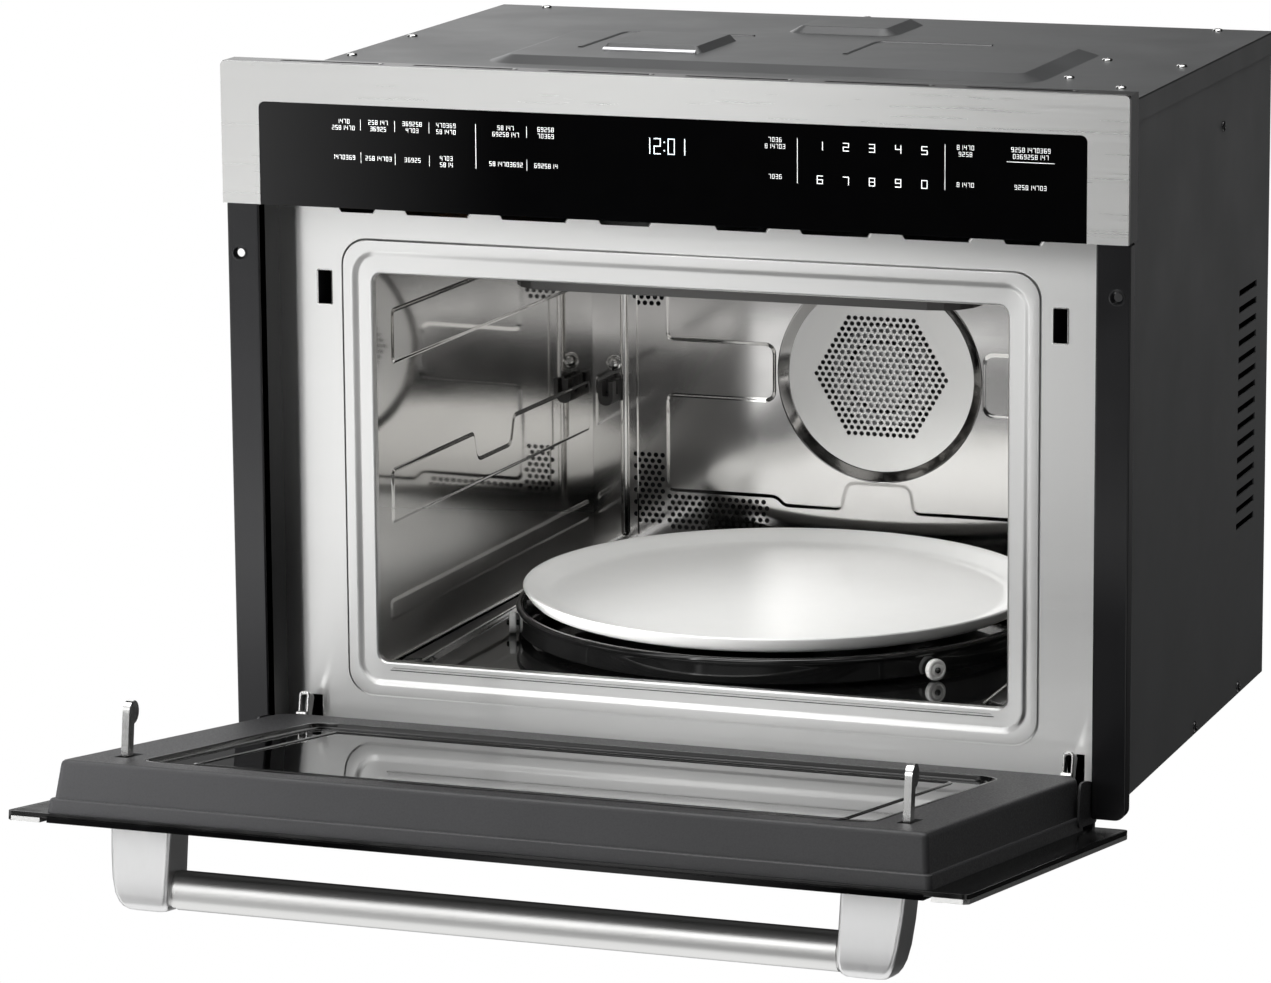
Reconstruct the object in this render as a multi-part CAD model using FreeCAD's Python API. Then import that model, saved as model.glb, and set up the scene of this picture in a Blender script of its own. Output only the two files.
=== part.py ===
import FreeCAD, Part
import math
import os

V = FreeCAD.Vector
os.makedirs("parts", exist_ok=True)

# Clearances
touch_gap = 0.3
running_gap = 0.05
past = 1.0

# Sheet thicknesses
sheet = 1.0
thick_sheet = 1.2
base_sheet = 1.5
side_sheet = 1.1

# Front, measured from the trim face (y = 0) and the casing underside (z = 0)
front_half = 297.5
trim_bottom = 366.0
trim_height = 91.0
trim_depth = 3.4
trim_band = 26.0
trim_top_band = 25.0
trim_corner = 3.0
trim_top = trim_bottom + trim_height

# Control panel
panel_glass_corner = 4.0
panel_glass_recess = 0.4
housing_depth = 22.0
housing_wall = 2.6
board_side_gap = 46.9
board_height = 48.0
board_drop = 33.0
board_thick = 1.6
display_half = 51.0
display_height = 26.0
vent_count = 6
vent_pitch = 90.6
vent_length = 70.0
vent_width = 4.0
vent_y = 12.5

# Flanges
flange_y = 6.0
flange_width = 21.7
flange_lip = 18.7
flange_bottom = 6.0
flange_hole_inset = 8.2
flange_hole_drop = 33.2
flange_hole_r = 2.7
flange_wall_x = front_half - flange_width

# Front plate
plate_y = 39.0
plate_bottom = 4.0
plate_drop = 16.0
opening_bottom = 63.4
opening_corner = 6.0
top_web = 47.7
side_web = 33.3
ring_height = 1.2
ring_band = 12.0
ring_corner = 18.0
ring_reach = 21.5
ring_below = 23.7
ring_above = 22.7
plate_back = plate_y + sheet
plate_top = trim_top - plate_drop
opening_top = trim_bottom - top_web

# Hinge, from the flange wall inwards
bracket_inset = 2.3
bracket_width = 10.0
bracket_r = 8.0
bracket_low = 5.0
bracket_high = 5.5
foot_drop = 4.0
foot_set = 2.0
foot_width = 6.0
arm_to_bracket = 3.5
arm_width = 6.0
arm_eye_r = 7.0
arm_reach = 34.0
arm_angle_from = -10.0
arm_angle_to = 22.0
arm_steps = 6
loop_inner = 14.0
loop_outer = 29.0
loop_angle_from = -4.0
loop_angle_to = 16.0
arm_side_gap = 2.5
arm_bay_depth = 16.0
arm_bay_top = 38.0
pin_r = 2.45
pin_end = 1.5
pin_head = 2.5
pivot_y = 16.6
pivot_z = 9.7
open_angle = 81.66
bracket_outer_x = flange_wall_x - bracket_inset
bracket_inner_x = bracket_outer_x - bracket_width
arm_outer_x = bracket_inner_x - arm_to_bracket
arm_inner_x = arm_outer_x - arm_width

# Latch, from the hinge arm inwards
latch_to_arm = 9.2
latch_slot_half = 4.5
latch_slot_height = 21.6
hook_drop = 9.6
hook_reach = 33.4
hook_half = 2.2
hook_bar_half = 4.0
hook_head_r = 7.0
hook_head_drop = 3.0
hook_pivot_depth = 15.0
trunnion_r = 2.0
trunnion_half = 7.3
switch_half = 12.0
switch_depth = 46.0
switch_below = 12.0
switch_above = 16.4
channel_side = 1.0
channel_depth = 40.0
channel_over = 7.0
latch_x = arm_inner_x - latch_to_arm
latch_slot_top = opening_top + touch_gap
latch_slot_bottom = latch_slot_top - latch_slot_height
hook_z = latch_slot_top - hook_drop

opening_half = latch_x - side_web
ring_half = opening_half + ring_reach
ring_bottom = opening_bottom - ring_below
ring_top = opening_top + ring_above

# Vent notches above the opening
notch_lengths = (41.5, 52.0, 50.5, 31.0)
notch_start = 18.0
notch_web = 14.5
notch_height = 6.5
notch_over_ring = 16.0
notch_slant = 4.0
notch_bottom = ring_top + notch_over_ring

# Casing
casing_half = flange_wall_x
casing_depth = 407.0
base_fold = 20.0
cover_rise = 2.0
cover_lip = 15.0
louvre_count = 15
louvre_pitch = 11.38
louvre_top_z = 276.6
louvre_rear = 31.5
louvre_length = 48.5
louvre_height = 4.5
pad_height = 4.5
platform_slope = 14.0
pad_slope = 4.5
rear_pad_slope = 9.0
platform_left = 100.8
platform_right = 74.8
platform_front = 100.0
platform_length = 162.0
pad_side = 64.0
pad_width = 71.0
pad_front = 149.0
pad_length = 76.0
rear_pad_shift = 4.0
rear_pad_half = 39.0
rear_pad_rear = 25.0
rear_pad_length = 76.0
back_slot_rows = 6
back_slot_pitch = 8.0
back_slot_height = 4.0
back_slot_length = 50.0
back_slot_drop = 18.0
back_slot_x = (-200.0, -110.0, 60.0, 150.0)
gland_side = 75.8
gland_z = 60.0
gland_r = 9.0
gland_flange = 4.0
gland_inside = 10.0
gland_outside = 11.0
gland_nut = 5.0
gland_head = 6.0
head_r = 3.5
head_h = 1.6
left_heads = ((5.8, 111.0), (5.8, 217.0))
right_heads = ((9.8, 208.0), (63.8, 225.0), (63.8, 133.0), (19.8, 95.0))
rear_head_side = 34.0
rear_head_inset = 8.0
rear_head_mid = -6.0
side_head_set = 276.0
side_head_drop = 47.0
foot_head_set = (220.0, 338.0)
foot_head_z = 5.0
back_y = plate_back + casing_depth
casing_top = plate_top + cover_rise
cover_half = casing_half + side_sheet
gland_x = gland_side - casing_half

# Cavity
cavity_side_gap = 2.0
cavity_taper = 11.5
rear_space = 29.0
floor_drop = 5.4
ceiling_rise = 17.7
rail_height = 1.2
rail_front = 23.0
rail_rear = 9.0
low_rail = (26.0, 41.0)
mid_rail = (90.0, 127.0)
mid_rail_notch = 108.0
notch_rail_y = (165.0, 230.0)
high_rail = (195.0, 232.0)
high_rail_rear = 39.0
cavity_front_half = opening_half + cavity_side_gap
cavity_rear_half = cavity_front_half - cavity_taper
cavity_back_y = back_y - rear_space
wall_end = cavity_back_y + sheet
floor_z = opening_bottom - floor_drop
ceiling_z = opening_top + ceiling_rise

# Convection group
fan_x = 10.0
fan_rise = 138.0
fan_cover_r = 73.5
fan_cover_wall = 2.0
fan_cover_depth = 2.8
fan_opening_r = 66.0
grille_rings = 7
grille_pitch = 6.7
grille_hole = 2.6
fan_housing_r = 80.0
fan_housing_depth = 32.0
back_hole_gap = 1.5
shaft_r = 4.0
shaft_hole_r = 6.0
shaft_reach = 20.0
fan_r = 52.0
fan_setback = 6.0
fan_depth = 13.0
fan_hub_r = 12.0
fan_blades = 8
blade_half = 0.6
motor_r = 30.0
motor_length = 36.0
heater_r = 63.0
heater_half = 3.0
heater_setback = 11.0
heater_leg_r = 2.5
heater_leg_x = 6.0
motor_cover_half = 92.0
motor_cover_gap = 9.0
pan_slot_half = 50.0
pan_slot_height = 4.0
pan_slot_z = (-50.0, -38.0, -26.0, 22.0, 34.0, 46.0)
fan_z = floor_z + fan_rise
fan_front = cavity_back_y + fan_setback
fan_back = fan_front + fan_depth
fan_housing_back = cavity_back_y + fan_housing_depth
shaft_end = fan_housing_back + shaft_reach
motor_back = fan_housing_back + motor_length
motor_cover_back = motor_back + motor_cover_gap
heater_y = cavity_back_y + heater_setback

# Broil element
element_half = 158.0
element_set = 95.0
element_length = 195.0
element_band = 7.0
element_drop = 40.0
element_corner = 28.0
hanger_half = 4.0
hanger_x = (-80.0, 70.0)
element_y0 = plate_back + element_set
element_y1 = element_y0 + element_length
element_z0 = ceiling_z - element_drop
element_z1 = element_z0 + element_band

# Rack hooks and bolts on the back wall, each hook slotted both ways for a corner of the rack
rack_set = 10.8
rack_width = 11.0
rack_reach = 19.0
rack_rise = 110.6
rack_height = 17.0
rack_r = 5.0
rack_slot = 4.6
rack_web = 6.5
bolt_rise = 138.0
bolt_r = 5.0
bolt_length = 6.0

# Turntable
table_shift = 1.0
table_r = 172.0
dish_flare = 22.0
dish_rise = 11.7
dish_lip = 3.0
dish_brim = 4.0
dish_thick = 4.0
support_over = 4.0
support_band = 8.0
support_height = 21.3
support_gap = 3.0
support_hub_r = 22.0
spoke_half = 8.0
spoke_thick = 7.3
roller_r = 7.0
roller_width = 5.0
roller_axle_r = 2.0
roller_cap = 1.5
roller_start_angle = -38.0
roller_count = 3
coupler_r = 12.0
coupler_gap = 0.4
coupler_height = 13.0
coupler_shaft_r = 3.0
coupler_shaft = 18.0
table_motor_r = 27.0
table_motor_height = 24.0
motor_tab_half = 36.0
motor_tab_width = 7.0
motor_tab_thick = 2.0
table_y = (plate_back + cavity_back_y) / 2 + table_shift
support_top = floor_z + support_height

# Component space above the cavity
deck_rise = 16.0
component_gap = 34.0
magnetron_x = 145.0
magnetron_set = 175.0
magnetron_half = 40.0
magnetron_plate = 4.0
magnetron_fins = 5
magnetron_fin_gap = 7.0
magnetron_core_r = 20.0
magnetron_antenna_r = 10.0
antenna_hole_gap = 7.0
antenna_drop = 10.0
guide_half = 50.0
guide_wall = 2.0
core_x = (-230.0, -140.0)
core_set = 85.0
core_length = 80.0
winding_side = 15.0
winding_over = 20.0
winding_low = 10.0
winding_high = 12.0
capacitor_x = (-225.0, -165.0)
capacitor_set = 230.0
capacitor_length = 35.0
blower_rear = 62.0
blower_clear = 4.4
blower_x0 = -75.0
blower_x1 = -25.0
blower_wall = 2.0
blower_inlet_r = 24.0
blower_motor_r = 22.0
blower_motor_length = 35.0
blower_shaft_r = 3.0
blower_shaft_hole_r = 5.0
blower_foot_half = 30.0
blower_foot_height = 14.4
wheel_clear = 5.0
wheel_disc = 1.5
wheel_vane = 9.0
wheel_vanes = 12
wheel_end = 6.0
lamp_set = 90.0
lamp_rise = 182.0
lamp_size = 40.0
lamp_depth = 30.0
lamp_socket_r = 12.0
lamp_socket = 14.0
deck_z = ceiling_z + deck_rise
deck_top = deck_z + thick_sheet
component_top = casing_top - component_gap

# Door, drawn closed and then swung open
door_bottom = 9.5
door_gap = 3.7
door_skin = 4.0
door_sheet = 1.5
liner_face_y = 37.0
liner_step_y = 14.0
liner_rear = 9.0
liner_wall = 4.0
liner_corner = 15.0
liner_front_corner = 1.5
liner_side_gap = 1.5
liner_top_gap = 4.8
liner_draft = 1.0
liner_ledge = 2.0
liner_slope = 2.6
hollow_side = 6.6
hollow_rear = 6.0
hollow_top = 7.2
glass_to_hook = 23.3
glass_below = 0.7
glass_above = 4.4
glass_thick = 3.0
glass_sunk = 0.6
glass_corner = 9.7
window_side = 16.5
window_edge = 17.5
screen_side = 7.0
screen_edge = 6.0
screen_thick = 0.8
gasket_band = 5.0
gasket_gap = 2.5
gasket_sunk = 1.5
gasket_corner = 11.0
hook_slot_half = 4.2
hook_slot_below = 16.0
hook_slot_above = 10.0
ear_gap = 4.0
ear_thick = 3.5
ear_half = 5.0
door_top = trim_bottom - door_gap
door_back = door_skin + door_sheet
liner_rear_z = door_bottom + liner_rear
glass_half = latch_x - glass_to_hook
glass_bottom = opening_bottom - glass_below
glass_top = opening_top + glass_above
window_half = glass_half - window_side
window_bottom = glass_bottom + window_edge
window_top = glass_top - window_edge
hook_pivot_y = liner_face_y - hook_pivot_depth

# Handle
bar_r = 12.0
bar_standoff = 41.0
handle_drop = 2.5
post_past_latch = 4.4
post_width = 40.0
post_half = 14.0
post_height = 54.5
post_taper = 11.0
post_shoulder = (3.2, 35.0)
post_knee = (6.2, 49.0)
handle_z = hook_z - handle_drop
post_outer_x = latch_x + post_past_latch
post_inner_x = post_outer_x - post_width
post_tip_x = post_outer_x - post_taper

# The origin is the middle of the seat under the casing
seat_y = (plate_back + back_y) / 2

AX = V(1, 0, 0)
AY = V(0, 1, 0)
AZ = V(0, 0, 1)


def box(x0, x1, y0, y1, z0, z1):
    return Part.makeBox(x1 - x0, y1 - y0, z1 - z0, V(x0, y0, z0))


def rod(centre, axis, radius, length):
    return Part.makeCylinder(radius, length, centre, axis)


def tube(centre, axis, radius, bore, length):
    return rod(centre, axis, radius, length).cut(rod(centre, axis, bore, length))


def polygon(points):
    return Part.makePolygon(points + [points[0]])


def prism(points, path):
    return Part.Face(polygon(points)).extrude(path)


def prism_x(yz, x0, x1):
    return prism([V(x0, y, z) for y, z in yz], V(x1 - x0, 0, 0))


def prism_y(xz, y0, y1):
    return prism([V(x, y0, z) for x, z in xz], V(0, y1 - y0, 0))


def prism_z(xy, z0, z1):
    return prism([V(x, y, z0) for x, y in xy], V(0, 0, z1 - z0))


def corner_points(x0, x1, z0, z1, radii, steps=4):
    """Outline of a rectangle whose corners (low left, low right, high right, high left) are rounded."""
    centres = [
        (x0 + radii[0], z0 + radii[0], 180),
        (x1 - radii[1], z0 + radii[1], 270),
        (x1 - radii[2], z1 - radii[2], 0),
        (x0 + radii[3], z1 - radii[3], 90),
    ]
    points = []
    for (cx, cz, start), r in zip(centres, radii):
        if r == 0:
            points.append((cx, cz))
            continue
        for k in range(steps + 1):
            a = math.radians(start + 90.0 * k / steps)
            points.append((cx + r * math.cos(a), cz + r * math.sin(a)))
    return points


def rounded_plate(x0, x1, y0, y1, z0, z1, radius):
    return prism_y(corner_points(x0, x1, z0, z1, [radius] * 4), y0, y1)


def mirrored(shape):
    return shape.mirror(V(0, 0, 0), AX)


def both(shape):
    return [shape, mirrored(shape)]


def joined(shapes):
    return shapes[0].fuse(shapes[1:]).removeSplitter()


def cut_all(shape, tools):
    return shape.cut(Part.makeCompound(tools))


def opened(shape):
    turned = shape.copy()
    turned.rotate(V(0, pivot_y, pivot_z), AX, open_angle)
    return turned


def save(name, shapes):
    shapes = shapes if isinstance(shapes, list) else [shapes]
    whole = shapes[0].copy() if len(shapes) == 1 else Part.makeCompound(shapes)
    whole.translate(V(0, -seat_y, 0))
    whole.exportStep("parts/" + name + ".step")


def save_pair(stem, right):
    save("right_" + stem, right)
    save("left_" + stem, mirrored(right))


# Casing panels
arm_bays = both(box(arm_inner_x - arm_side_gap, arm_outer_x + arm_side_gap,
                    plate_y, plate_y + arm_bay_depth, -past, arm_bay_top))
base = joined([
    box(-casing_half, casing_half, plate_back, back_y, 0, base_sheet),
    box(-casing_half, casing_half, plate_back, plate_back + base_sheet, 0, base_fold),
])
save("base_panel", cut_all(base, arm_bays))

side = box(casing_half, cover_half, plate_back, back_y, 0, casing_top - sheet)
save("left_side_panel", mirrored(side))
louvres = []
louvre_y1 = back_y - louvre_rear
for row in range(louvre_count):
    z = louvre_top_z - row * louvre_pitch
    louvres.append(box(casing_half - past, cover_half + past, louvre_y1 - louvre_length, louvre_y1,
                       z - louvre_height / 2, z + louvre_height / 2))
save("right_side_panel", cut_all(side, louvres))

cover_end = back_y + 2 * sheet
lip_z = casing_top - cover_lip
cover_skin_z = casing_top - sheet
pad_z = casing_top + pad_height
platform_y = plate_back + platform_front
pad_y = plate_back + pad_front
platform_x = platform_left - casing_half
pad_x = platform_x + pad_side
rear_pad_y = back_y - rear_pad_rear


def raised_pad(x0, x1, y0, y1, z, slope):
    loops = []
    for inset, height in ((0, z), (slope, z + pad_height)):
        loops.append(polygon([
            V(x0 + inset, y0 + inset, height), V(x1 - inset, y0 + inset, height),
            V(x1 - inset, y1 - inset, height), V(x0 + inset, y1 - inset, height),
        ]))
    return Part.makeLoft(loops, True, True)


cover = joined([
    box(-cover_half - sheet, cover_half + sheet, plate_back, cover_end, cover_skin_z, casing_top),
    box(cover_half, cover_half + sheet, plate_back, cover_end, lip_z, casing_top),
    box(-cover_half - sheet, -cover_half, plate_back, cover_end, lip_z, casing_top),
    box(-cover_half, cover_half, back_y + sheet, cover_end, lip_z, casing_top),
    raised_pad(platform_x, casing_half - platform_right, platform_y, platform_y + platform_length,
               casing_top, platform_slope),
    raised_pad(pad_x, pad_x + pad_width, pad_y, pad_y + pad_length, pad_z, pad_slope),
    raised_pad(rear_pad_shift - rear_pad_half, rear_pad_shift + rear_pad_half,
               rear_pad_y - rear_pad_length, rear_pad_y, casing_top, rear_pad_slope),
])
save("top_cover", cover)

back = box(-cover_half, cover_half, back_y, back_y + sheet, 0, cover_skin_z)
back_holes = [
    rod(V(fan_x, back_y - past, fan_z), AY, fan_housing_r + back_hole_gap, sheet + 2 * past),
    rod(V(gland_x, back_y - past, gland_z), AY, gland_r + touch_gap, sheet + 2 * past),
]
for row in range(back_slot_rows):
    z = casing_top - back_slot_drop - back_slot_pitch * row
    for x in back_slot_x:
        back_holes.append(box(x, x + back_slot_length, back_y - past, back_y + sheet + past,
                              z, z + back_slot_height))
save("back_panel", cut_all(back, back_holes))

pan_y = back_y + sheet
pan = box(fan_x - motor_cover_half, fan_x + motor_cover_half, pan_y, motor_cover_back,
          fan_z - motor_cover_half, fan_z + motor_cover_half)
pan_inside = motor_cover_half - thick_sheet
pan = pan.cut(box(fan_x - pan_inside, fan_x + pan_inside, pan_y - past, motor_cover_back - thick_sheet,
                  fan_z - pan_inside, fan_z + pan_inside))
pan_slots = [
    box(fan_x - pan_slot_half, fan_x + pan_slot_half, motor_cover_back - thick_sheet - past,
        motor_cover_back + past, fan_z + dz, fan_z + dz + pan_slot_height)
    for dz in pan_slot_z
]
save("rear_motor_cover", cut_all(pan, pan_slots))

save("cable_gland", joined([
    rod(V(gland_x, back_y - gland_inside, gland_z), AY, gland_r, gland_inside + sheet + gland_outside),
    rod(V(gland_x, back_y + sheet, gland_z), AY, gland_r + gland_flange, gland_head),
    rod(V(gland_x, back_y - gland_nut, gland_z), AY, gland_r + gland_flange, gland_nut),
]))

# Front plate
front = box(-casing_half, casing_half, plate_y, plate_back, plate_bottom, plate_top)
ring_outer = rounded_plate(-ring_half, ring_half, plate_y - ring_height, plate_y, ring_bottom, ring_top,
                           ring_corner)
ring_inner_half = ring_half - ring_band
ring_inner = rounded_plate(-ring_inner_half, ring_inner_half, plate_y - ring_height - past, plate_back,
                           ring_bottom + ring_band, ring_top - ring_band, ring_corner - ring_band / 2)
front = front.fuse(ring_outer.cut(ring_inner)).removeSplitter()
cut_y0 = plate_y - ring_height - past
cut_y1 = plate_back + past
front_cuts = [rounded_plate(-opening_half, opening_half, cut_y0, cut_y1, opening_bottom, opening_top,
                            opening_corner)]
front_cuts += both(box(latch_x - latch_slot_half, latch_x + latch_slot_half, cut_y0, cut_y1,
                       latch_slot_bottom, latch_slot_top))
front_cuts += arm_bays
notch_x = notch_start
for length in notch_lengths:
    notch_end = notch_x + length
    front_cuts += both(prism_y([
        (notch_x + notch_slant, notch_bottom), (notch_end - notch_slant, notch_bottom),
        (notch_end, notch_bottom + notch_height), (notch_x, notch_bottom + notch_height),
    ], cut_y0, cut_y1))
    notch_x = notch_end + notch_web
save("front_plate", cut_all(front, front_cuts))

wall_out = flange_wall_x + thick_sheet
lip_in = front_half - thick_sheet
face_in = flange_y + thick_sheet
lip_end = flange_y + flange_lip
flange = prism_z([
    (flange_wall_x, plate_back), (flange_wall_x, flange_y), (front_half, flange_y), (front_half, lip_end),
    (lip_in, lip_end), (lip_in, face_in), (wall_out, face_in), (wall_out, plate_back),
], flange_bottom, trim_bottom - touch_gap)
save_pair("mounting_flange", flange.cut(
    rod(V(front_half - flange_hole_inset, flange_y - past, trim_bottom - flange_hole_drop), AY,
        flange_hole_r, thick_sheet + 2 * past)))

# Control panel
panel_half = front_half - trim_band
panel_top = trim_top - trim_top_band
trim = prism_y(corner_points(-front_half, front_half, trim_bottom, trim_top,
                             [0, 0, trim_corner, trim_corner]), 0, trim_depth)
trim_window = prism_y(corner_points(-panel_half, panel_half, trim_bottom - past, panel_top,
                                    [0, 0, panel_glass_corner, panel_glass_corner]),
                      -past, trim_depth + past)
save("trim_frame", trim.cut(trim_window))
pane_corner = panel_glass_corner - touch_gap
save("control_glass", prism_y(
    corner_points(-panel_half + touch_gap, panel_half - touch_gap, trim_bottom, panel_top - touch_gap,
                  [0, 0, pane_corner, pane_corner]), panel_glass_recess, trim_depth))

housing_half = front_half - touch_gap
housing_top = trim_top - touch_gap
board_y = trim_depth + housing_wall
board_top = trim_top - board_drop
board_mid = board_top - board_height / 2
display_z0 = board_mid - display_height / 2
display_z1 = board_mid + display_height / 2
housing = joined([
    box(-housing_half, housing_half, trim_depth, housing_depth, trim_bottom, housing_top),
    box(-casing_half, casing_half, housing_depth, plate_y, trim_bottom, plate_top),
])
housing_cuts = [
    box(-housing_half + housing_wall, housing_half - housing_wall, board_y, housing_depth - housing_wall,
        trim_bottom + housing_wall, housing_top - housing_wall),
    box(-casing_half + housing_wall, casing_half - housing_wall, board_y, plate_y + past,
        trim_bottom + housing_wall, plate_top - housing_wall),
    box(-display_half, display_half, trim_depth - past, board_y + past, display_z0, display_z1),
]
for k in range(vent_count):
    x = (k - (vent_count - 1) / 2) * vent_pitch
    housing_cuts.append(box(x - vent_length / 2, x + vent_length / 2, vent_y, vent_y + vent_width,
                            housing_top - housing_wall - past, housing_top + past))
save("control_housing", cut_all(housing, housing_cuts))
board_half = panel_half - board_side_gap
save("control_board", box(-board_half, board_half, board_y, board_y + board_thick,
                          board_top - board_height, board_top))
save("display_module", box(-display_half + touch_gap, display_half - touch_gap, trim_depth, board_y,
                           display_z0 + touch_gap, display_z1 - touch_gap))


# Cavity
def wall_x(y):
    share = (y - plate_back) / (wall_end - plate_back)
    return cavity_front_half - share * cavity_taper


def wall_strip(y0, y1, z0, z1, inner, outer):
    return prism_z([(wall_x(y0) - inner, y0), (wall_x(y1) - inner, y1),
                    (wall_x(y1) + outer, y1), (wall_x(y0) + outer, y0)], z0, z1)


def rail(y0, y1, span):
    return wall_strip(y0, y1, floor_z + span[0], floor_z + span[1], rail_height, 0)


rail_y0 = plate_back + rail_front
rail_y1 = cavity_back_y - rail_rear
notch_y0 = plate_back + notch_rail_y[0]
notch_y1 = plate_back + notch_rail_y[1]
save_pair("cavity_wall", joined([
    wall_strip(plate_back, wall_end, floor_z - sheet, ceiling_z + sheet, 0, sheet),
    rail(rail_y0, rail_y1, low_rail),
    rail(rail_y0, notch_y0, mid_rail),
    rail(notch_y0, notch_y1, (mid_rail[0], mid_rail_notch)),
    rail(notch_y1, rail_y1, mid_rail),
    rail(rail_y0, cavity_back_y - high_rail_rear, high_rail),
]))

plan = [(-wall_x(plate_back), plate_back), (wall_x(plate_back), plate_back),
        (wall_x(wall_end), wall_end), (-wall_x(wall_end), wall_end)]
floor_panel = prism_z(plan, floor_z - sheet, floor_z)
save("cavity_floor", floor_panel.cut(
    rod(V(0, table_y, floor_z - sheet - past), AZ, 2 * coupler_shaft_r, sheet + 2 * past)))
save("cavity_ceiling", prism_z(plan, ceiling_z, ceiling_z + sheet))
back_wall = box(-cavity_rear_half, cavity_rear_half, cavity_back_y, wall_end, floor_z, ceiling_z)
save("cavity_back_wall", back_wall.cut(
    rod(V(fan_x, cavity_back_y - past, fan_z), AY, fan_opening_r, sheet + 2 * past)))

# Perforated fan cover: a hexagonal field of holes, one face with all its openings
cover_front = cavity_back_y - fan_cover_depth
hole_wires = []
for q in range(-grille_rings, grille_rings + 1):
    for r in range(max(-grille_rings, -q - grille_rings), min(grille_rings, grille_rings - q) + 1):
        hx = fan_x + grille_pitch * (q + r / 2)
        hz = fan_z + grille_pitch * math.sqrt(3) / 2 * r
        hole = []
        for k in range(6):
            a = math.radians(30 + 60 * k)
            hole.append(V(hx + grille_hole * math.cos(a), cover_front, hz + grille_hole * math.sin(a)))
        hole_wires.append(polygon(hole))
bore_r = fan_cover_r - fan_cover_wall
rim = Part.Wire(Part.makeCircle(bore_r, V(fan_x, cover_front, fan_z), AY))
grille = Part.makeFace([rim] + hole_wires, "Part::FaceMakerBullseye").extrude(V(0, thick_sheet, 0))
save("fan_cover", grille.fuse(tube(V(fan_x, cover_front, fan_z), AY, fan_cover_r, bore_r, fan_cover_depth)))

housing_end = fan_housing_back - thick_sheet
fan_drum = tube(V(fan_x, wall_end, fan_z), AY, fan_housing_r, fan_housing_r - thick_sheet,
                fan_housing_back - wall_end)
save("fan_housing", fan_drum.fuse(
    tube(V(fan_x, housing_end, fan_z), AY, fan_housing_r, shaft_hole_r, thick_sheet)))

heater = tube(V(fan_x, heater_y, fan_z), AY, heater_r + heater_half, heater_r - heater_half,
              2 * heater_half)
heater_legs = [
    rod(V(fan_x + dx, heater_y + heater_half, fan_z - heater_r), AY, heater_leg_r,
        housing_end - heater_y - heater_half)
    for dx in (-heater_leg_x, heater_leg_x)
]
save("ring_heater", joined([heater] + heater_legs))

fan_parts = [
    rod(V(fan_x, fan_front, fan_z), AY, fan_hub_r, fan_depth),
    rod(V(fan_x, fan_back - sheet, fan_z), AY, fan_r, sheet),
    rod(V(fan_x, fan_front, fan_z), AY, shaft_r, shaft_end - fan_front),
]
for k in range(fan_blades):
    blade = box(fan_x + fan_hub_r / 2, fan_x + fan_r, fan_front, fan_back,
                fan_z - blade_half, fan_z + blade_half)
    blade.rotate(V(fan_x, 0, fan_z), AY, 360.0 * k / fan_blades)
    fan_parts.append(blade)
save("convection_fan", joined(fan_parts))
save("convection_motor", rod(V(fan_x, fan_housing_back, fan_z), AY, motor_r, motor_length).cut(
    rod(V(fan_x, fan_housing_back - past, fan_z), AY, shaft_r + running_gap, shaft_reach + 2 * past)))


# Broil element and its hangers
def element_plan(inset, z0, z1):
    return prism_z(corner_points(-element_half + inset, element_half - inset, element_y0 + inset,
                                 element_y1 - inset, [element_corner - inset] * 4), z0, z1)


save("broil_element", element_plan(0, element_z0, element_z1).cut(
    element_plan(element_band, element_z0 - past, element_z1 + past)))
hangers = []
for x in hanger_x:
    for y in (element_y0, element_y1 - element_band):
        hangers.append(box(x - hanger_half, x + hanger_half, y, y + element_band, element_z1, ceiling_z))
save("element_hangers", hangers)

# Rack hooks and bolts
rack_y1 = cavity_back_y
rack_y0 = rack_y1 - rack_reach
rack_x1 = wall_x(rack_y1) - rack_set
rack_x0 = rack_x1 - rack_width
rack_z0 = floor_z + rack_rise
rack_z1 = rack_z0 + rack_height
slot_z = rack_z0 + rack_web
slot_x = (rack_x0 + rack_x1 - rack_slot) / 2
slot_y = (rack_y0 + rack_y1 - rack_slot) / 2
rack = prism_y(corner_points(rack_x0, rack_x1, rack_z0, rack_z1, [rack_r, rack_r, 0, 0]), rack_y0, rack_y1)
rack = rack.cut(box(slot_x, slot_x + rack_slot, rack_y0 - past, rack_y1 + past, slot_z, rack_z1 + past))
rack = rack.cut(box(rack_x0 - past, rack_x1 + past, slot_y, slot_y + rack_slot, slot_z, rack_z1 + past))
save("rack_hooks", both(rack))
bolt_x = (rack_x0 + rack_x1) / 2
save("rack_bolts", both(rod(V(bolt_x, cavity_back_y, floor_z + bolt_rise), V(0, -1, 0),
                            bolt_r, bolt_length)))

# Turntable
rim_z = support_top + dish_rise
foot_r = table_r - dish_flare
dish_profile = [
    (0, support_top), (foot_r, support_top), (table_r, rim_z - dish_lip), (table_r, rim_z),
    (table_r - dish_brim, rim_z), (foot_r - dish_brim / 2, support_top + dish_thick),
    (0, support_top + dish_thick),
]
dish = Part.Face(polygon([V(r, 0, z) for r, z in dish_profile])).revolve(V(0, 0, 0), AZ, 360)
dish.translate(V(0, table_y, 0))
save("turntable_plate", dish)

ring_outer_r = table_r + support_over
ring_inner_r = ring_outer_r - support_band
support_z = floor_z + support_gap
spoke_z = support_top - spoke_thick
roller_z = floor_z + touch_gap + roller_r
roller_start = ring_outer_r + 2 * touch_gap
axle_start = ring_inner_r + support_band / 4
axle_end = roller_start + roller_width + roller_cap
coupler_corner = coupler_r / math.cos(math.radians(30))


def hexagon(radius, z0, z1):
    corners = [(radius * math.cos(math.radians(60 * k)), table_y + radius * math.sin(math.radians(60 * k)))
               for k in range(6)]
    return prism_z(corners, z0, z1)


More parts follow.
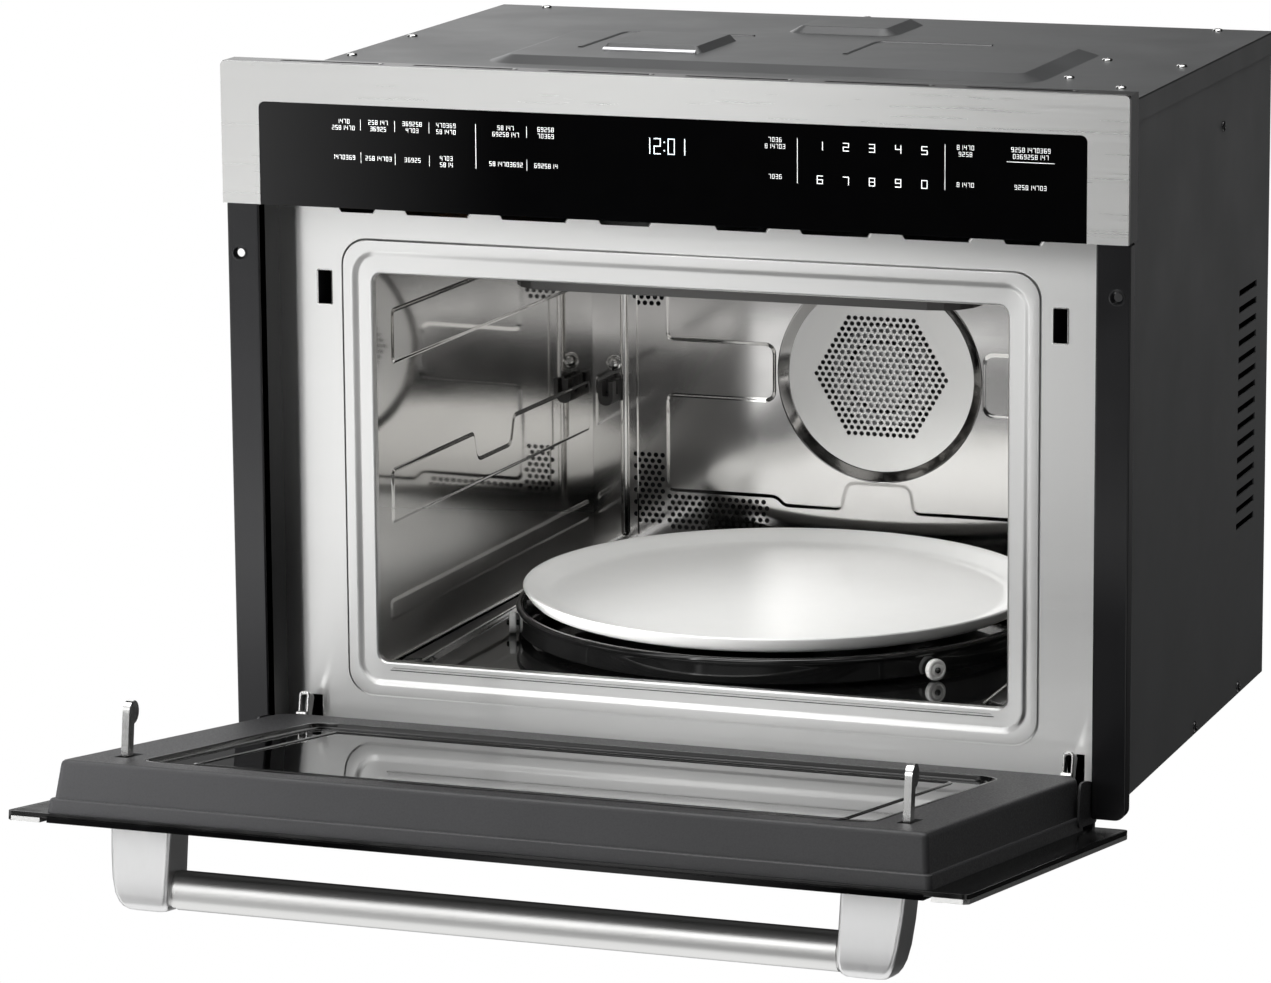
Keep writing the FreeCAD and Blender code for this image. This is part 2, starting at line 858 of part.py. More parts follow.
def around(shape, angle):
    turned = shape.copy()
    turned.rotate(V(0, table_y, 0), AZ, angle)
    return turned


support = [
    tube(V(0, table_y, support_z), AZ, ring_outer_r, ring_inner_r, support_top - support_z),
    rod(V(0, table_y, support_z), AZ, support_hub_r, support_top - support_z),
]
roller_angles = [roller_start_angle + 360.0 * k / roller_count for k in range(roller_count)]
for angle in roller_angles:
    spoke = box(support_hub_r - past, axle_start, table_y - spoke_half, table_y + spoke_half,
                spoke_z, support_top)
    axle = rod(V(axle_start, table_y, roller_z), AX, roller_axle_r, axle_end - axle_start)
    support += [around(spoke, angle), around(axle, angle)]
save("turntable_support", joined(support).cut(hexagon(coupler_corner + coupler_gap, floor_z, spoke_z)))
for k, angle in enumerate(roller_angles):
    wheel = tube(V(roller_start, table_y, roller_z), AX, roller_r, roller_axle_r + running_gap,
                 roller_width)
    save("roller_%d" % (k + 1), around(wheel, angle))
shaft_z = floor_z - coupler_shaft
save("drive_coupler", joined([
    hexagon(coupler_corner, floor_z + touch_gap, min(floor_z + coupler_height, spoke_z - touch_gap)),
    rod(V(0, table_y, shaft_z), AZ, coupler_shaft_r, coupler_shaft + 2 * past),
]))
motor_top = floor_z - sheet
table_motor = joined([
    rod(V(0, table_y, motor_top - table_motor_height), AZ, table_motor_r, table_motor_height),
    box(-motor_tab_half, motor_tab_half, table_y - motor_tab_width, table_y + motor_tab_width,
        motor_top - motor_tab_thick, motor_top),
])
save("turntable_motor", table_motor.cut(
    rod(V(0, table_y, shaft_z - past), AZ, coupler_shaft_r + running_gap, coupler_shaft + 2 * past)))

# Component space above the cavity
magnetron_y = plate_back + magnetron_set
deck = box(-casing_half, casing_half, plate_back, back_y, deck_z, deck_top)
save("component_deck", deck.cut(
    rod(V(magnetron_x, magnetron_y, deck_z - past), AZ, magnetron_antenna_r + antenna_hole_gap,
        thick_sheet + 2 * past)))


def square(half, z0, z1):
    return box(magnetron_x - half, magnetron_x + half, magnetron_y - half, magnetron_y + half, z0, z1)


guide_z = ceiling_z + sheet
save("waveguide", square(guide_half, guide_z, deck_z).cut(
    square(guide_half - guide_wall, guide_z + guide_wall, deck_z + past)))
core_height = component_top - deck_top
cheek = box(magnetron_x - magnetron_half, magnetron_x - magnetron_half + magnetron_plate,
            magnetron_y - magnetron_half, magnetron_y + magnetron_half, deck_top, component_top)
other_cheek = cheek.copy()
other_cheek.translate(V(2 * magnetron_half - magnetron_plate, 0, 0))
magnetron = [
    square(magnetron_half, deck_top, deck_top + magnetron_plate),
    square(magnetron_half, component_top - magnetron_plate, component_top),
    rod(V(magnetron_x, magnetron_y, deck_top), AZ, magnetron_core_r, core_height),
    rod(V(magnetron_x, magnetron_y, deck_z - antenna_drop), AZ, magnetron_antenna_r, 2 * antenna_drop),
    cheek,
    other_cheek,
]
for k in range(magnetron_fins):
    z = deck_top + core_height * (k + 1) / (magnetron_fins + 1)
    fin_half = magnetron_half - magnetron_fin_gap
    magnetron.append(box(magnetron_x - magnetron_half, magnetron_x + magnetron_half,
                         magnetron_y - fin_half, magnetron_y + fin_half, z, z + thick_sheet))
save("magnetron", joined(magnetron))
core_y = plate_back + core_set
save("transformer", joined([
    box(core_x[0], core_x[1], core_y, core_y + core_length, deck_top, component_top),
    box(core_x[0] + winding_side, core_x[1] - winding_side, core_y - winding_over,
        core_y + core_length + winding_over, deck_top + winding_low, component_top - winding_high),
]))
capacitor_y = plate_back + capacitor_set
capacitor_r = capacitor_length / 2 - touch_gap
save("capacitor", prism_z(
    corner_points(capacitor_x[0], capacitor_x[1], capacitor_y, capacitor_y + capacitor_length,
                  [capacitor_r] * 4), deck_top, component_top))

blower_y = back_y - blower_rear
blower_space = casing_top - sheet - deck_top
blower_z = deck_top + blower_space / 2
blower_r = blower_space / 2 - blower_clear
blower_length = blower_x1 - blower_x0


def blower_rod(x, radius, length):
    return rod(V(x, blower_y, blower_z), AX, radius, length)


def blower_tube(x, radius, bore, length):
    return tube(V(x, blower_y, blower_z), AX, radius, bore, length)


blower_foot = box(blower_x0, blower_x1, blower_y - blower_foot_half, blower_y + blower_foot_half,
                  deck_top, deck_top + blower_foot_height)
save("blower_housing", joined([
    blower_tube(blower_x0, blower_r, blower_r - blower_wall, blower_length),
    blower_tube(blower_x0, blower_r, blower_inlet_r, blower_wall),
    blower_tube(blower_x1 - blower_wall, blower_r, blower_shaft_hole_r, blower_wall),
    blower_tube(blower_x1, blower_motor_r, blower_shaft_r + running_gap, blower_motor_length),
    blower_foot.cut(blower_rod(blower_x0, blower_r - blower_wall / 2, blower_length)),
]))
wheel_r = blower_r - blower_wall - wheel_clear
disc_x = blower_x1 - blower_wall - wheel_end
wheel_parts = [
    blower_rod(disc_x, wheel_r, wheel_disc),
    blower_rod(disc_x, blower_shaft_r, blower_x1 - disc_x + blower_motor_length - wheel_end),
]
for k in range(wheel_vanes):
    vane = box(blower_x0 + wheel_end, disc_x + wheel_disc, blower_y + wheel_r - wheel_vane,
               blower_y + wheel_r, blower_z - blade_half, blower_z + blade_half)
    vane.rotate(V(0, blower_y, blower_z), AX, 360.0 * k / wheel_vanes)
    wheel_parts.append(vane)
save("blower_wheel", joined(wheel_parts))

lamp_y = plate_back + lamp_set
lamp_x = wall_x(lamp_y) + sheet
lamp_z = floor_z + lamp_rise
save("lamp", joined([
    box(lamp_x, lamp_x + lamp_depth, lamp_y, lamp_y + lamp_size, lamp_z, lamp_z + lamp_size),
    rod(V(lamp_x + lamp_depth, lamp_y + lamp_size / 2, lamp_z + lamp_size / 2), AX, lamp_socket_r,
        lamp_socket),
]))

channel_half = latch_slot_half + channel_side
switch = box(latch_x - switch_half, latch_x + switch_half, plate_back, plate_back + switch_depth,
             latch_slot_bottom - switch_below, latch_slot_top + switch_above)
save("latch_switches", both(switch.cut(
    box(latch_x - channel_half, latch_x + channel_half, plate_back - past, plate_back + channel_depth,
        latch_slot_bottom - channel_over, latch_slot_top + channel_over))))

# Hinge
bracket = joined([
    rod(V(bracket_inner_x, pivot_y, pivot_z), AX, bracket_r, bracket_width),
    box(bracket_inner_x, bracket_outer_x, pivot_y, plate_y, pivot_z - bracket_low, pivot_z + bracket_high),
    box(bracket_inner_x, bracket_outer_x, pivot_y + foot_set, pivot_y + foot_set + foot_width,
        -foot_drop, pivot_z),
])
pin_start = arm_inner_x - pin_end
pin_length = bracket_outer_x - arm_inner_x + pin_head
pin_hole = rod(V(pin_start, pivot_y, pivot_z), AX, pin_r + running_gap, pin_length)
save("hinge_brackets", both(bracket.cut(pin_hole)))
save("hinge_pins", both(rod(V(pin_start, pivot_y, pivot_z), AX, pin_r, pin_length)))


def swung(reach, degrees):
    a = math.radians(open_angle + degrees)
    return (pivot_y + reach * math.sin(a), pivot_z + reach * math.cos(a))


arm_points = [(pivot_y, pivot_z)]
for k in range(arm_steps + 1):
    arm_points.append(swung(arm_reach, arm_angle_from + (arm_angle_to - arm_angle_from) * k / arm_steps))
loop_points = [swung(loop_inner, loop_angle_from), swung(loop_inner, loop_angle_to),
               swung(loop_outer, loop_angle_to), swung(loop_outer, loop_angle_from)]
arm = joined([
    prism_x(arm_points, arm_inner_x, arm_outer_x),
    rod(V(arm_inner_x, pivot_y, pivot_z), AX, arm_eye_r, arm_width),
    box(arm_inner_x, arm_outer_x, pivot_y - arm_eye_r, pivot_y + arm_eye_r, pivot_z, liner_rear_z),
])
arm = arm.cut(prism_x(loop_points, arm_inner_x - past, arm_outer_x + past)).cut(pin_hole)
save("hinge_arms", both(opened(arm)))

# Door shell
frame_z = door_bottom + trim_top_band
door_trim = prism_y(corner_points(-front_half, front_half, door_bottom, door_top, [trim_corner] * 4),
                    0, door_skin)
save("door_trim", opened(door_trim.cut(
    box(-panel_half, panel_half, -past, door_skin + past, frame_z, door_top + past))))
save("door_glass", opened(box(-panel_half + touch_gap, panel_half - touch_gap, 0, door_skin,
                              frame_z + touch_gap, door_top)))
window_cut = box(-window_half, window_half, 0, liner_face_y + past, window_bottom, window_top)
back_sheet = rounded_plate(-front_half, front_half, door_skin, door_back, door_bottom, door_top,
                           trim_corner)
save("door_back_panel", opened(back_sheet.cut(window_cut)))


def liner_outline(inset, y):
    half = flange_wall_x - liner_side_gap - inset
    top = door_top - liner_top_gap - inset
    radii = [liner_corner, liner_corner, liner_front_corner, liner_front_corner]
    return polygon([V(x, y, z) for x, z in corner_points(-half, half, liner_rear_z, top, radii)])


ledge_inset = liner_draft + liner_ledge
face_inset = ledge_inset + liner_slope
liner_foot = [liner_outline(0, door_back), liner_outline(liner_draft, liner_step_y)]
liner_top = [liner_outline(ledge_inset, liner_step_y), liner_outline(face_inset, liner_face_y)]
liner = joined([Part.makeLoft(liner_foot, True, True), Part.makeLoft(liner_top, True, True)])
face_back = liner_face_y - liner_wall
glass_front = liner_face_y - glass_sunk
glass_seat = glass_front - glass_thick
gasket_y = liner_face_y - gasket_sunk
hollow_half = flange_wall_x - liner_side_gap - face_inset - hollow_side
hollow_z1 = door_top - liner_top_gap - face_inset - hollow_top


def gasket_ring(y0, y1, extra):
    outer = glass_half + gasket_gap + gasket_band + extra
    inner = glass_half + gasket_gap - extra
    low = glass_bottom - gasket_gap
    high = glass_top + gasket_gap
    reach = gasket_band + extra
    ring = rounded_plate(-outer, outer, y0, y1, low - reach, high + reach, gasket_corner + gasket_band)
    return ring.cut(rounded_plate(-inner, inner, y0 - past, y1 + past, low + extra, high - extra,
                                  gasket_corner))


liner_cuts = [
    box(-hollow_half, hollow_half, door_back - past, face_back, liner_rear_z + hollow_rear, hollow_z1),
    window_cut,
    rounded_plate(-glass_half - touch_gap, glass_half + touch_gap, glass_seat, liner_face_y + past,
                  glass_bottom - touch_gap, glass_top + touch_gap, glass_corner + touch_gap),
    gasket_ring(gasket_y, liner_face_y + past, touch_gap),
]
liner_cuts += both(box(latch_x - hook_slot_half, latch_x + hook_slot_half, face_back - past,
                       liner_face_y + past, hook_z - hook_slot_below, hook_z + hook_slot_above))
ears = []
for x0 in (latch_x - ear_gap - ear_thick, latch_x + ear_gap):
    ear = box(x0, x0 + ear_thick, hook_pivot_y - ear_half, face_back, hook_z - ear_half, hook_z + ear_half)
    ears += both(ear.cut(rod(V(x0 - past, hook_pivot_y, hook_z), AX, trunnion_r + running_gap,
                             ear_thick + 2 * past)))
save("door_liner", opened(joined([cut_all(liner, liner_cuts)] + ears)))

save("door_inner_glass", opened(rounded_plate(-glass_half, glass_half, glass_seat, glass_front,
                                              glass_bottom, glass_top, glass_corner)))
screen_half = window_half + screen_side
save("door_screen", opened(box(-screen_half, screen_half, face_back - screen_thick, face_back,
                               window_bottom - screen_edge, window_top + screen_edge)))
save("door_gasket", opened(gasket_ring(gasket_y, liner_face_y + touch_gap, 0)))

head_y = liner_face_y + hook_reach - hook_head_r
hook = joined([
    box(latch_x - hook_half, latch_x + hook_half, hook_pivot_y - hook_bar_half, head_y,
        hook_z - hook_bar_half, hook_z + hook_bar_half),
    rod(V(latch_x - hook_half, head_y, hook_z - hook_head_drop), AX, hook_head_r, 2 * hook_half),
    rod(V(latch_x - trunnion_half, hook_pivot_y, hook_z), AX, trunnion_r, 2 * trunnion_half),
])
save_pair("latch_hook", opened(hook))

# Handle
save("handle_bar", opened(rod(V(-post_inner_x, -bar_standoff, handle_z), AX, bar_r, 2 * post_inner_x)))
post_outline = [
    (post_inner_x, 0), (post_outer_x, 0), (post_outer_x - post_shoulder[0], -post_shoulder[1]),
    (post_outer_x - post_knee[0], -post_knee[1]), (post_tip_x, -post_height), (post_inner_x, -post_height),
]
save("handle_posts", both(opened(prism_z(post_outline, handle_z - post_half, handle_z + post_half))))

# Screw heads of the casing
cover_heads = [(-casing_half + inset, plate_back + y) for inset, y in left_heads]
cover_heads += [(casing_half - inset, plate_back + y) for inset, y in right_heads]
rear_side_x = casing_half - rear_head_side
cover_heads += [(x, back_y - rear_head_inset) for x in (-rear_side_x, rear_head_mid, rear_side_x)]
heads = [rod(V(x, y, casing_top), AZ, head_r, head_h) for x, y in cover_heads]
side_heads = [(side_head_set, casing_top - side_head_drop)]
side_heads += [(y, foot_head_z) for y in foot_head_set]
for y, z in side_heads:
    heads += both(rod(V(cover_half, plate_back + y, z), AX, head_r, head_h))
save("casing_screws", heads)
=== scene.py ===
import math

import bmesh
import bpy
from mathutils import Matrix, Vector
from mathutils.geometry import tessellate_polygon


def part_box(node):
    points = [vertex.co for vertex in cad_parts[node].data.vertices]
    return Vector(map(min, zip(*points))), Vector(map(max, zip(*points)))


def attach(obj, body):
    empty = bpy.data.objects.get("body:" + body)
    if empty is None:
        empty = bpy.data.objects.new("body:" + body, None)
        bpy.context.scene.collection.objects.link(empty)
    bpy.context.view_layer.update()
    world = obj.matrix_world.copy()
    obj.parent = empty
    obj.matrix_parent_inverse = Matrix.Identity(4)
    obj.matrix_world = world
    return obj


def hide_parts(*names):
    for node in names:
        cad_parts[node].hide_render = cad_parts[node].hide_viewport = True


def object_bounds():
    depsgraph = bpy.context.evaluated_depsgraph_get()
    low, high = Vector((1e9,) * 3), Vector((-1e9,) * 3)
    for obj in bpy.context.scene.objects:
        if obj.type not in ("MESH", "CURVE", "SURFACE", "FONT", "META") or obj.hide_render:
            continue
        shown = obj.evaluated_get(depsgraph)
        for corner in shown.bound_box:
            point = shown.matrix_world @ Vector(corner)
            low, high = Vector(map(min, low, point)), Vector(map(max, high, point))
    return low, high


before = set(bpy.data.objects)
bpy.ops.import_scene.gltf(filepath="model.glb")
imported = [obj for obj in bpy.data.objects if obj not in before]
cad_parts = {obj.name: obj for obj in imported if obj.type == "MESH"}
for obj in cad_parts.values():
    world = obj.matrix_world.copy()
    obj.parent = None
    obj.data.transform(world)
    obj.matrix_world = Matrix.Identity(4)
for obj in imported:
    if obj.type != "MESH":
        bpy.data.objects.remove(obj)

CAD_LOW, CAD_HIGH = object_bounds()

# Millimetres: x to the right, y from the trim face into the cabinet, z up from the casing underside
MM = 0.001
FRONT_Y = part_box("trim_frame")[0].y


def span(node):
    """(x0, x1, y0, y1, z0, z1) of a node at rest, in the script's millimetres."""
    low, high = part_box(node)
    return (low.x / MM, high.x / MM, (low.y - FRONT_Y) / MM, (high.y - FRONT_Y) / MM, low.z / MM, high.z / MM)


FRONT_HALF = span("trim_frame")[1]
CASING_HALF = span("front_plate")[1]
PLATE_BOTTOM, PLATE_TOP = span("front_plate")[4:]
PLATE_BACK = span("front_plate")[3]
SHEET = 1.0
PLATE_Y = PLATE_BACK - SHEET
CASING_TOP = span("left_side_panel")[5] + SHEET
BACK_Y = span("left_side_panel")[3]
CAVITY_BACK_Y = span("cavity_back_wall")[2]
FLOOR_Z = span("cavity_floor")[5]
CEILING_Z = span("cavity_ceiling")[4]
CAVITY_FRONT_HALF = span("cavity_floor")[1]
CAVITY_REAR_HALF = span("cavity_back_wall")[1]

# Front plate: rounded frames are half width, low, high and corner radius
OPENING = (211.5, 63.4, 318.3, 6.0)
RING_OUTER = (233.0, 39.7, 341.0, 18.0)
RING_INNER = (221.0, 51.7, 329.0, 12.0)
RING_RISE = 1.2
RING_EDGE, RING_SOFT = 1.8, 4.6
LIP_R, LIP_DEPTH = 1.6, 5.0
LATCH_X = 244.8
LATCH_SLOT = (4.5, 297.0, 318.6)
ARM_X = (254.0, 260.0)
ARM_BAY = (251.5, 262.5, 38.0)
NOTCH_Z = (357.0, 363.5)
NOTCH_SPANS = ((18.0, 59.5), (74.0, 126.0), (140.5, 191.0), (205.5, 236.5))
NOTCH_SLANT = 4.0

# Door, drawn closed
PIVOT = (16.6, 9.7)
OPEN_ANGLE = math.radians(81.66)
DOOR_Z = (9.5, 362.3)
DOOR_BACK = 5.5
LINER_STEP_Y = 14.0
LINER_FACE_Y = 37.0
GLASS = (221.5, 62.7, 322.7, 9.7)
WINDOW = (205.0, 80.2, 305.2, 6.0)
PANE_SUNK = 2.6
HOOK_Z = 309.0

# Cavity details
FAN_X, FAN_Z = 10.0, 196.0
TABLE_Y = 230.0
SUPPORT_TOP = 79.3


def door_matrix():
    centre = Vector((0.0, FRONT_Y + PIVOT[0] * MM, PIVOT[1] * MM))
    return Matrix.Translation(centre) @ Matrix.Rotation(OPEN_ANGLE, 4, "X") @ Matrix.Translation(-centre)


DOOR_OPEN = door_matrix()


# Outlines
def rounded(x0, x1, z0, z1, radii, steps=8):
    """Counter-clockwise rectangle with rounded corners: low left, low right, high right, high left."""
    radii = radii if isinstance(radii, (list, tuple)) else [radii] * 4
    centres = [(x0 + radii[0], z0 + radii[0]), (x1 - radii[1], z0 + radii[1]),
               (x1 - radii[2], z1 - radii[2]), (x0 + radii[3], z1 - radii[3])]
    points = []
    for corner, ((cx, cz), r) in enumerate(zip(centres, radii)):
        for k in range(steps + 1):
            a = math.pi * (1 + corner / 2 + k / (2 * steps))
            points.append((cx + r * math.cos(a), cz + r * math.sin(a)))
    return points


def frame_loop(size, grow=0.0, steps=8):
    """Rounded rectangle of (half width, low, high, radius), grown by a distance all round."""
    half, low, high, radius = size
    return rounded(-half - grow, half + grow, low - grow, high + grow, max(radius + grow, 0.05), steps)


def circle(cx, cy, radius, sides=12):
    return [(cx + radius * math.cos(2 * math.pi * k / sides), cy + radius * math.sin(2 * math.pi * k / sides))
            for k in range(sides)]


SHARPEST = 0.35


def inset(outline, distance):
    """The outline moved inwards by a distance, for a counter-clockwise outline."""
    moved = []
    count = len(outline)
    for k in range(count):
        before, here, after = (Vector(outline[(k + step) % count]) for step in (-1, 0, 1))
        if (here - before).length < 1e-6:
            before = Vector(outline[(k - 2) % count])
        if (after - here).length < 1e-6:
            after = Vector(outline[(k + 2) % count])
        one = (here - before).normalized().orthogonal()
        two = (after - here).normalized().orthogonal()
        middle = (one + two).normalized()
        moved.append(tuple(here + middle * (distance / max(middle.dot(one), SHARPEST))))
    return moved


def softened(corners, radius, steps=4, closed=True):
    """A polygon or open path with each corner rounded by an arc-like curve."""
    points = []
    count = len(corners)
    for k in range(count):
        if not closed and k in (0, count - 1):
            points.append(tuple(corners[k]))
            continue
        before, here, after = (Vector(corners[(k + step) % count]) for step in (-1, 0, 1))
        reach = min(radius, (here - before).length / 2.2, (after - here).length / 2.2)
        one = here + (before - here).normalized() * reach
        two = here + (after - here).normalized() * reach
        for i in range(steps + 1):
            t = i / steps
            points.append(tuple(one * (1 - t) ** 2 + here * (2 * t * (1 - t)) + two * t ** 2))
    return points


# Planes that carry outlines: u, v along the plane and w away from it
def upright(u, v, w):
    return (u, w, v)


def level(u, v, w):
    return (u, v, w)


def wall_x(y):
    share = (y - PLATE_BACK) / (CAVITY_BACK_Y + SHEET - PLATE_BACK)
    return CAVITY_FRONT_HALF + share * (CAVITY_REAR_HALF - CAVITY_FRONT_HALF)


def side_wall(side):
    def place(u, v, w):
        return (side * (wall_x(u) - w), u, v)
    return place


def back_wall(u, v, w):
    return (u, CAVITY_BACK_Y - w, v)


# Slopes of pressed edges: share of the way across and of the rise
SOFT_STEP = ((0.0, 0.0), (0.25, 0.14), (0.5, 0.5), (0.75, 0.86), (1.0, 1.0))
RING_STEP = ((0.0, 0.0), (0.25, 0.12), (0.5, 0.5), (0.75, 0.88), (1.0, 1.0))
FLAT_STEP = ((0.0, 0.0), (0.05, 0.02), (0.12, 0.09), (0.88, 0.91), (0.95, 0.98), (1.0, 1.0))


class Solid:
    """Points in millimetres and faces, gathered before they become one mesh."""

    def __init__(self):
        self.points = []
        self.faces = []

    def add(self, points, faces):
        first = len(self.points)
        self.points += [tuple(p) for p in points]
        self.faces += [tuple(first + i for i in face) for face in faces]
        return self

    def loft(self, loops, wrap=False, start=False, end=False):
        """Quads between loops of equal length; wrap joins the last loop to the first."""
        count = len(loops[0])
        points = [p for loop in loops for p in loop]
        faces = []
        pairs = len(loops) if wrap else len(loops) - 1
        for k in range(pairs):
            a, b = k * count, (k + 1) % len(loops) * count
            for i in range(count):
                j = (i + 1) % count
                faces.append((a + i, a + j, b + j, b + i))
        if start:
            faces.append(tuple(range(count)))
        if end:
            faces.append(tuple(range((len(loops) - 1) * count, len(loops) * count)))
        return self.add(points, faces)

    def sheet(self, outline, holes, w0, w1, place):
        """A plate between w0 and w1 with an outline and holes."""
        loops = [outline] + list(holes)
        triangles = tessellate_polygon([[Vector((u, v, 0)) for u, v in loop] for loop in loops])
        flat = [p for loop in loops for p in loop]
        count = len(flat)
        points = [place(u, v, w) for w in (w0, w1) for u, v in flat]
        faces = [tuple(t) for t in triangles]
        faces += [tuple(count + i for i in reversed(t)) for t in triangles]
        first = 0
        for loop in loops:
            size = len(loop)
            for i in range(size):
                a, b = first + i, first + (i + 1) % size
                faces.append((a, b, count + b, count + a))
            first += size
        return self.add(points, faces)

    def pad(self, outline, base, rise, slope, place, profile=SOFT_STEP, holes=()):
        """A pressed pad with sloping edges, from base to base + rise."""
        sunk = base - math.copysign(0.3, rise)
        loops = [[place(u, v, sunk) for u, v in outline]]
        for across, up in profile:
            edge = inset(outline, across * slope)
            loops.append([place(u, v, base + up * rise) for u, v in edge])
        self.loft(loops, start=not holes, end=not holes)
        if holes:
            self.sheet(inset(outline, slope), holes, sunk, base + rise, place)
        return self

    def bordered(self, outline_at, profile, y, **ends):
        """Upright outlines, one for each (step, depth) of a profile, lofted in turn."""
        return self.loft([[upright(u, v, y + w) for u, v in outline_at(by)] for by, w in profile], **ends)

    def block(self, x0, x1, y0, y1, z0, z1, edge):
        """A box whose edges are cut back by a small chamfer."""
        outline = rounded(x0, x1, y0, y1, max(edge, 0.01), 2)
        small = inset(outline, edge)
        loops = [[(u, v, z0) for u, v in small], [(u, v, z0 + edge) for u, v in outline],
                 [(u, v, z1 - edge) for u, v in outline], [(u, v, z1) for u, v in small]]
        return self.loft(loops, start=True, end=True)

    def turned(self, profile, centre, axis, sides=64, wrap=False):
        """(radius, height) profile turned about an axis through the centre."""
        along = Vector(axis).normalized()
        side = along.orthogonal().normalized()
        other = along.cross(side)
        middle = Vector(centre)
        loops = []
        for radius, height in profile:
            rim = circle(0.0, 0.0, radius, sides)
            loops.append([middle + along * height + side * u + other * v for u, v in rim])
        return self.loft(loops, wrap=wrap, start=not wrap, end=not wrap)

    def tube(self, path, radius, sides=10, closed=False):
        """A round wire along a path of points."""
        points = [Vector(p) for p in path]
        count = len(points)
        section = circle(0.0, 0.0, radius, sides)
        loops = []
        side = None
        for k, here in enumerate(points):
            before = points[k - 1] if closed or k else here
            after = points[(k + 1) % count] if closed or k < count - 1 else here
            along = (after - before).normalized()
            side = along.orthogonal() if side is None else side - along * side.dot(along)
            side.normalize()
            other = along.cross(side)
            loops.append([here + side * u + other * v for u, v in section])
        return self.loft(loops, wrap=closed, start=not closed, end=not closed)


SHARP = math.radians(38)


def piece(name, solid, material, body, stands_for=(), door=False):
    """Turns a solid into a mesh object that rides on a body."""
    bm = bmesh.new()
    for x, y, z in solid.points:
        place = Vector((x * MM, FRONT_Y + y * MM, z * MM))
        bm.verts.new(DOOR_OPEN @ place if door else place)
    bm.verts.ensure_lookup_table()
    for face in solid.faces:
        corners = [bm.verts[i] for i in face]
        if bm.faces.get(corners) is None:
            bm.faces.new(corners)
    bmesh.ops.remove_doubles(bm, verts=bm.verts, dist=1e-6)
    bmesh.ops.recalc_face_normals(bm, faces=bm.faces)
    for face in bm.faces:
        face.smooth = True
    for edge in bm.edges:
        edge.smooth = len(edge.link_faces) == 2 and edge.calc_face_angle(math.pi) < SHARP
    mesh = bpy.data.meshes.new(name)
    bm.to_mesh(mesh)
    bm.free()
    mesh.materials.append(material)
    obj = bpy.data.objects.new(name, mesh)
    bpy.context.scene.collection.objects.link(obj)
    weighted = obj.modifiers.new("flat faces stay flat", "WEIGHTED_NORMAL")
    weighted.keep_sharp = True
    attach(obj, body)
    if stands_for:
        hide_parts(*stands_for)
    return obj


def dress(node, material, edge, segments):
    """Gives a CAD node its material and, where asked, softened edges."""
    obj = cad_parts[node]
    obj.data.materials.clear()
    obj.data.materials.append(material)
    if edge:
        flat = obj.modifiers.new("flat faces", "DECIMATE")
        flat.decimate_type = "DISSOLVE"
        flat.angle_limit = math.radians(1)
        bevel = obj.modifiers.new("soft edges", "BEVEL")
        bevel.width = edge * MM
        bevel.segments = segments
        bevel.limit_method = "ANGLE"
        bevel.angle_limit = math.radians(40)
        bevel.harden_normals = True


# Materials
def set_sockets(node, **values):
    """Sets a node's inputs by name, with an underscore for each space."""
    for socket, value in values.items():
        node.inputs[socket.replace("_", " ")].default_value = value
    return node


class Finish:
    """One procedural material built on the principled shader."""

    def __init__(self, name, colour, roughness, metallic=0.0, **sockets):
        self.material = bpy.data.materials.new(name)
        self.material.use_nodes = True
        self.tree = self.material.node_tree
        self.link = self.tree.links.new
        self.shader = self.tree.nodes["Principled BSDF"]
        set_sockets(self.shader, Base_Color=(*colour, 1.0), Roughness=roughness, Metallic=metallic, **sockets)
        self.place = self.node("TexCoord").outputs["Object"]

    def node(self, kind, **values):
        return set_sockets(self.tree.nodes.new("ShaderNode" + kind), **values)

    def noise(self, scale, stretch=(1.0, 1.0, 1.0), detail=3.0):
        mapping = self.node("Mapping", Scale=stretch)
        texture = self.node("TexNoise", Scale=scale, Detail=detail)
        self.link(self.place, mapping.inputs["Vector"])
        self.link(mapping.outputs["Vector"], texture.inputs["Vector"])
        return texture.outputs["Fac"]

    def along(self, direction):
        """How far a point lies along a direction, in metres."""
        node = self.node("VectorMath")
        node.operation = "DOT_PRODUCT"
        node.inputs[1].default_value = direction
        self.link(self.place, node.inputs[0])
        return node.outputs["Value"]

    def range(self, source, low, high, start=0.3, stop=0.7):
        node = self.node("MapRange", From_Min=start, From_Max=stop, To_Min=low, To_Max=high)
        self.link(source, node.inputs["Value"])
        return node.outputs["Result"]

    def rough(self, source, low, high, start=0.3, stop=0.7):
        self.link(self.range(source, low, high, start, stop), self.shader.inputs["Roughness"])

    def tint(self, source, one, two):
        mix = self.node("Mix")
        mix.data_type = "RGBA"
        colours = [socket for socket in mix.inputs if socket.type == "RGBA"]
        colours[0].default_value = (*one, 1.0)
        colours[1].default_value = (*two, 1.0)
        self.link(self.range(source, 0.0, 1.0), mix.inputs[0])
        result = [socket for socket in mix.outputs if socket.type == "RGBA"][0]
        self.link(result, self.shader.inputs["Base Color"])
        return self

    def bump(self, source, depth, strength):
        """Surface relief of a depth in millimetres."""
        node = self.node("Bump", Strength=strength, Distance=depth * MM)
        self.link(source, node.inputs["Height"])
        self.link(node.outputs["Normal"], self.shader.inputs["Normal"])
        return self


def shade(colour, share):
    return tuple(c * share for c in colour)


def brushed(name, colour, low, high, stretch, spread=0.0):
    """Brushed metal; spread draws reflections out across the brush lines."""
    finish = Finish(name, colour, (low + high) / 2, 1.0, Anisotropic=spread, Anisotropic_Rotation=0.25)
    lines = finish.noise(18.0, stretch, 4.0)
    cloud = finish.noise(9.0)
    finish.rough(lines, low, high)
    finish.tint(cloud, shade(colour, 0.985), colour)
    return finish.bump(lines, 0.001, 0.10).material


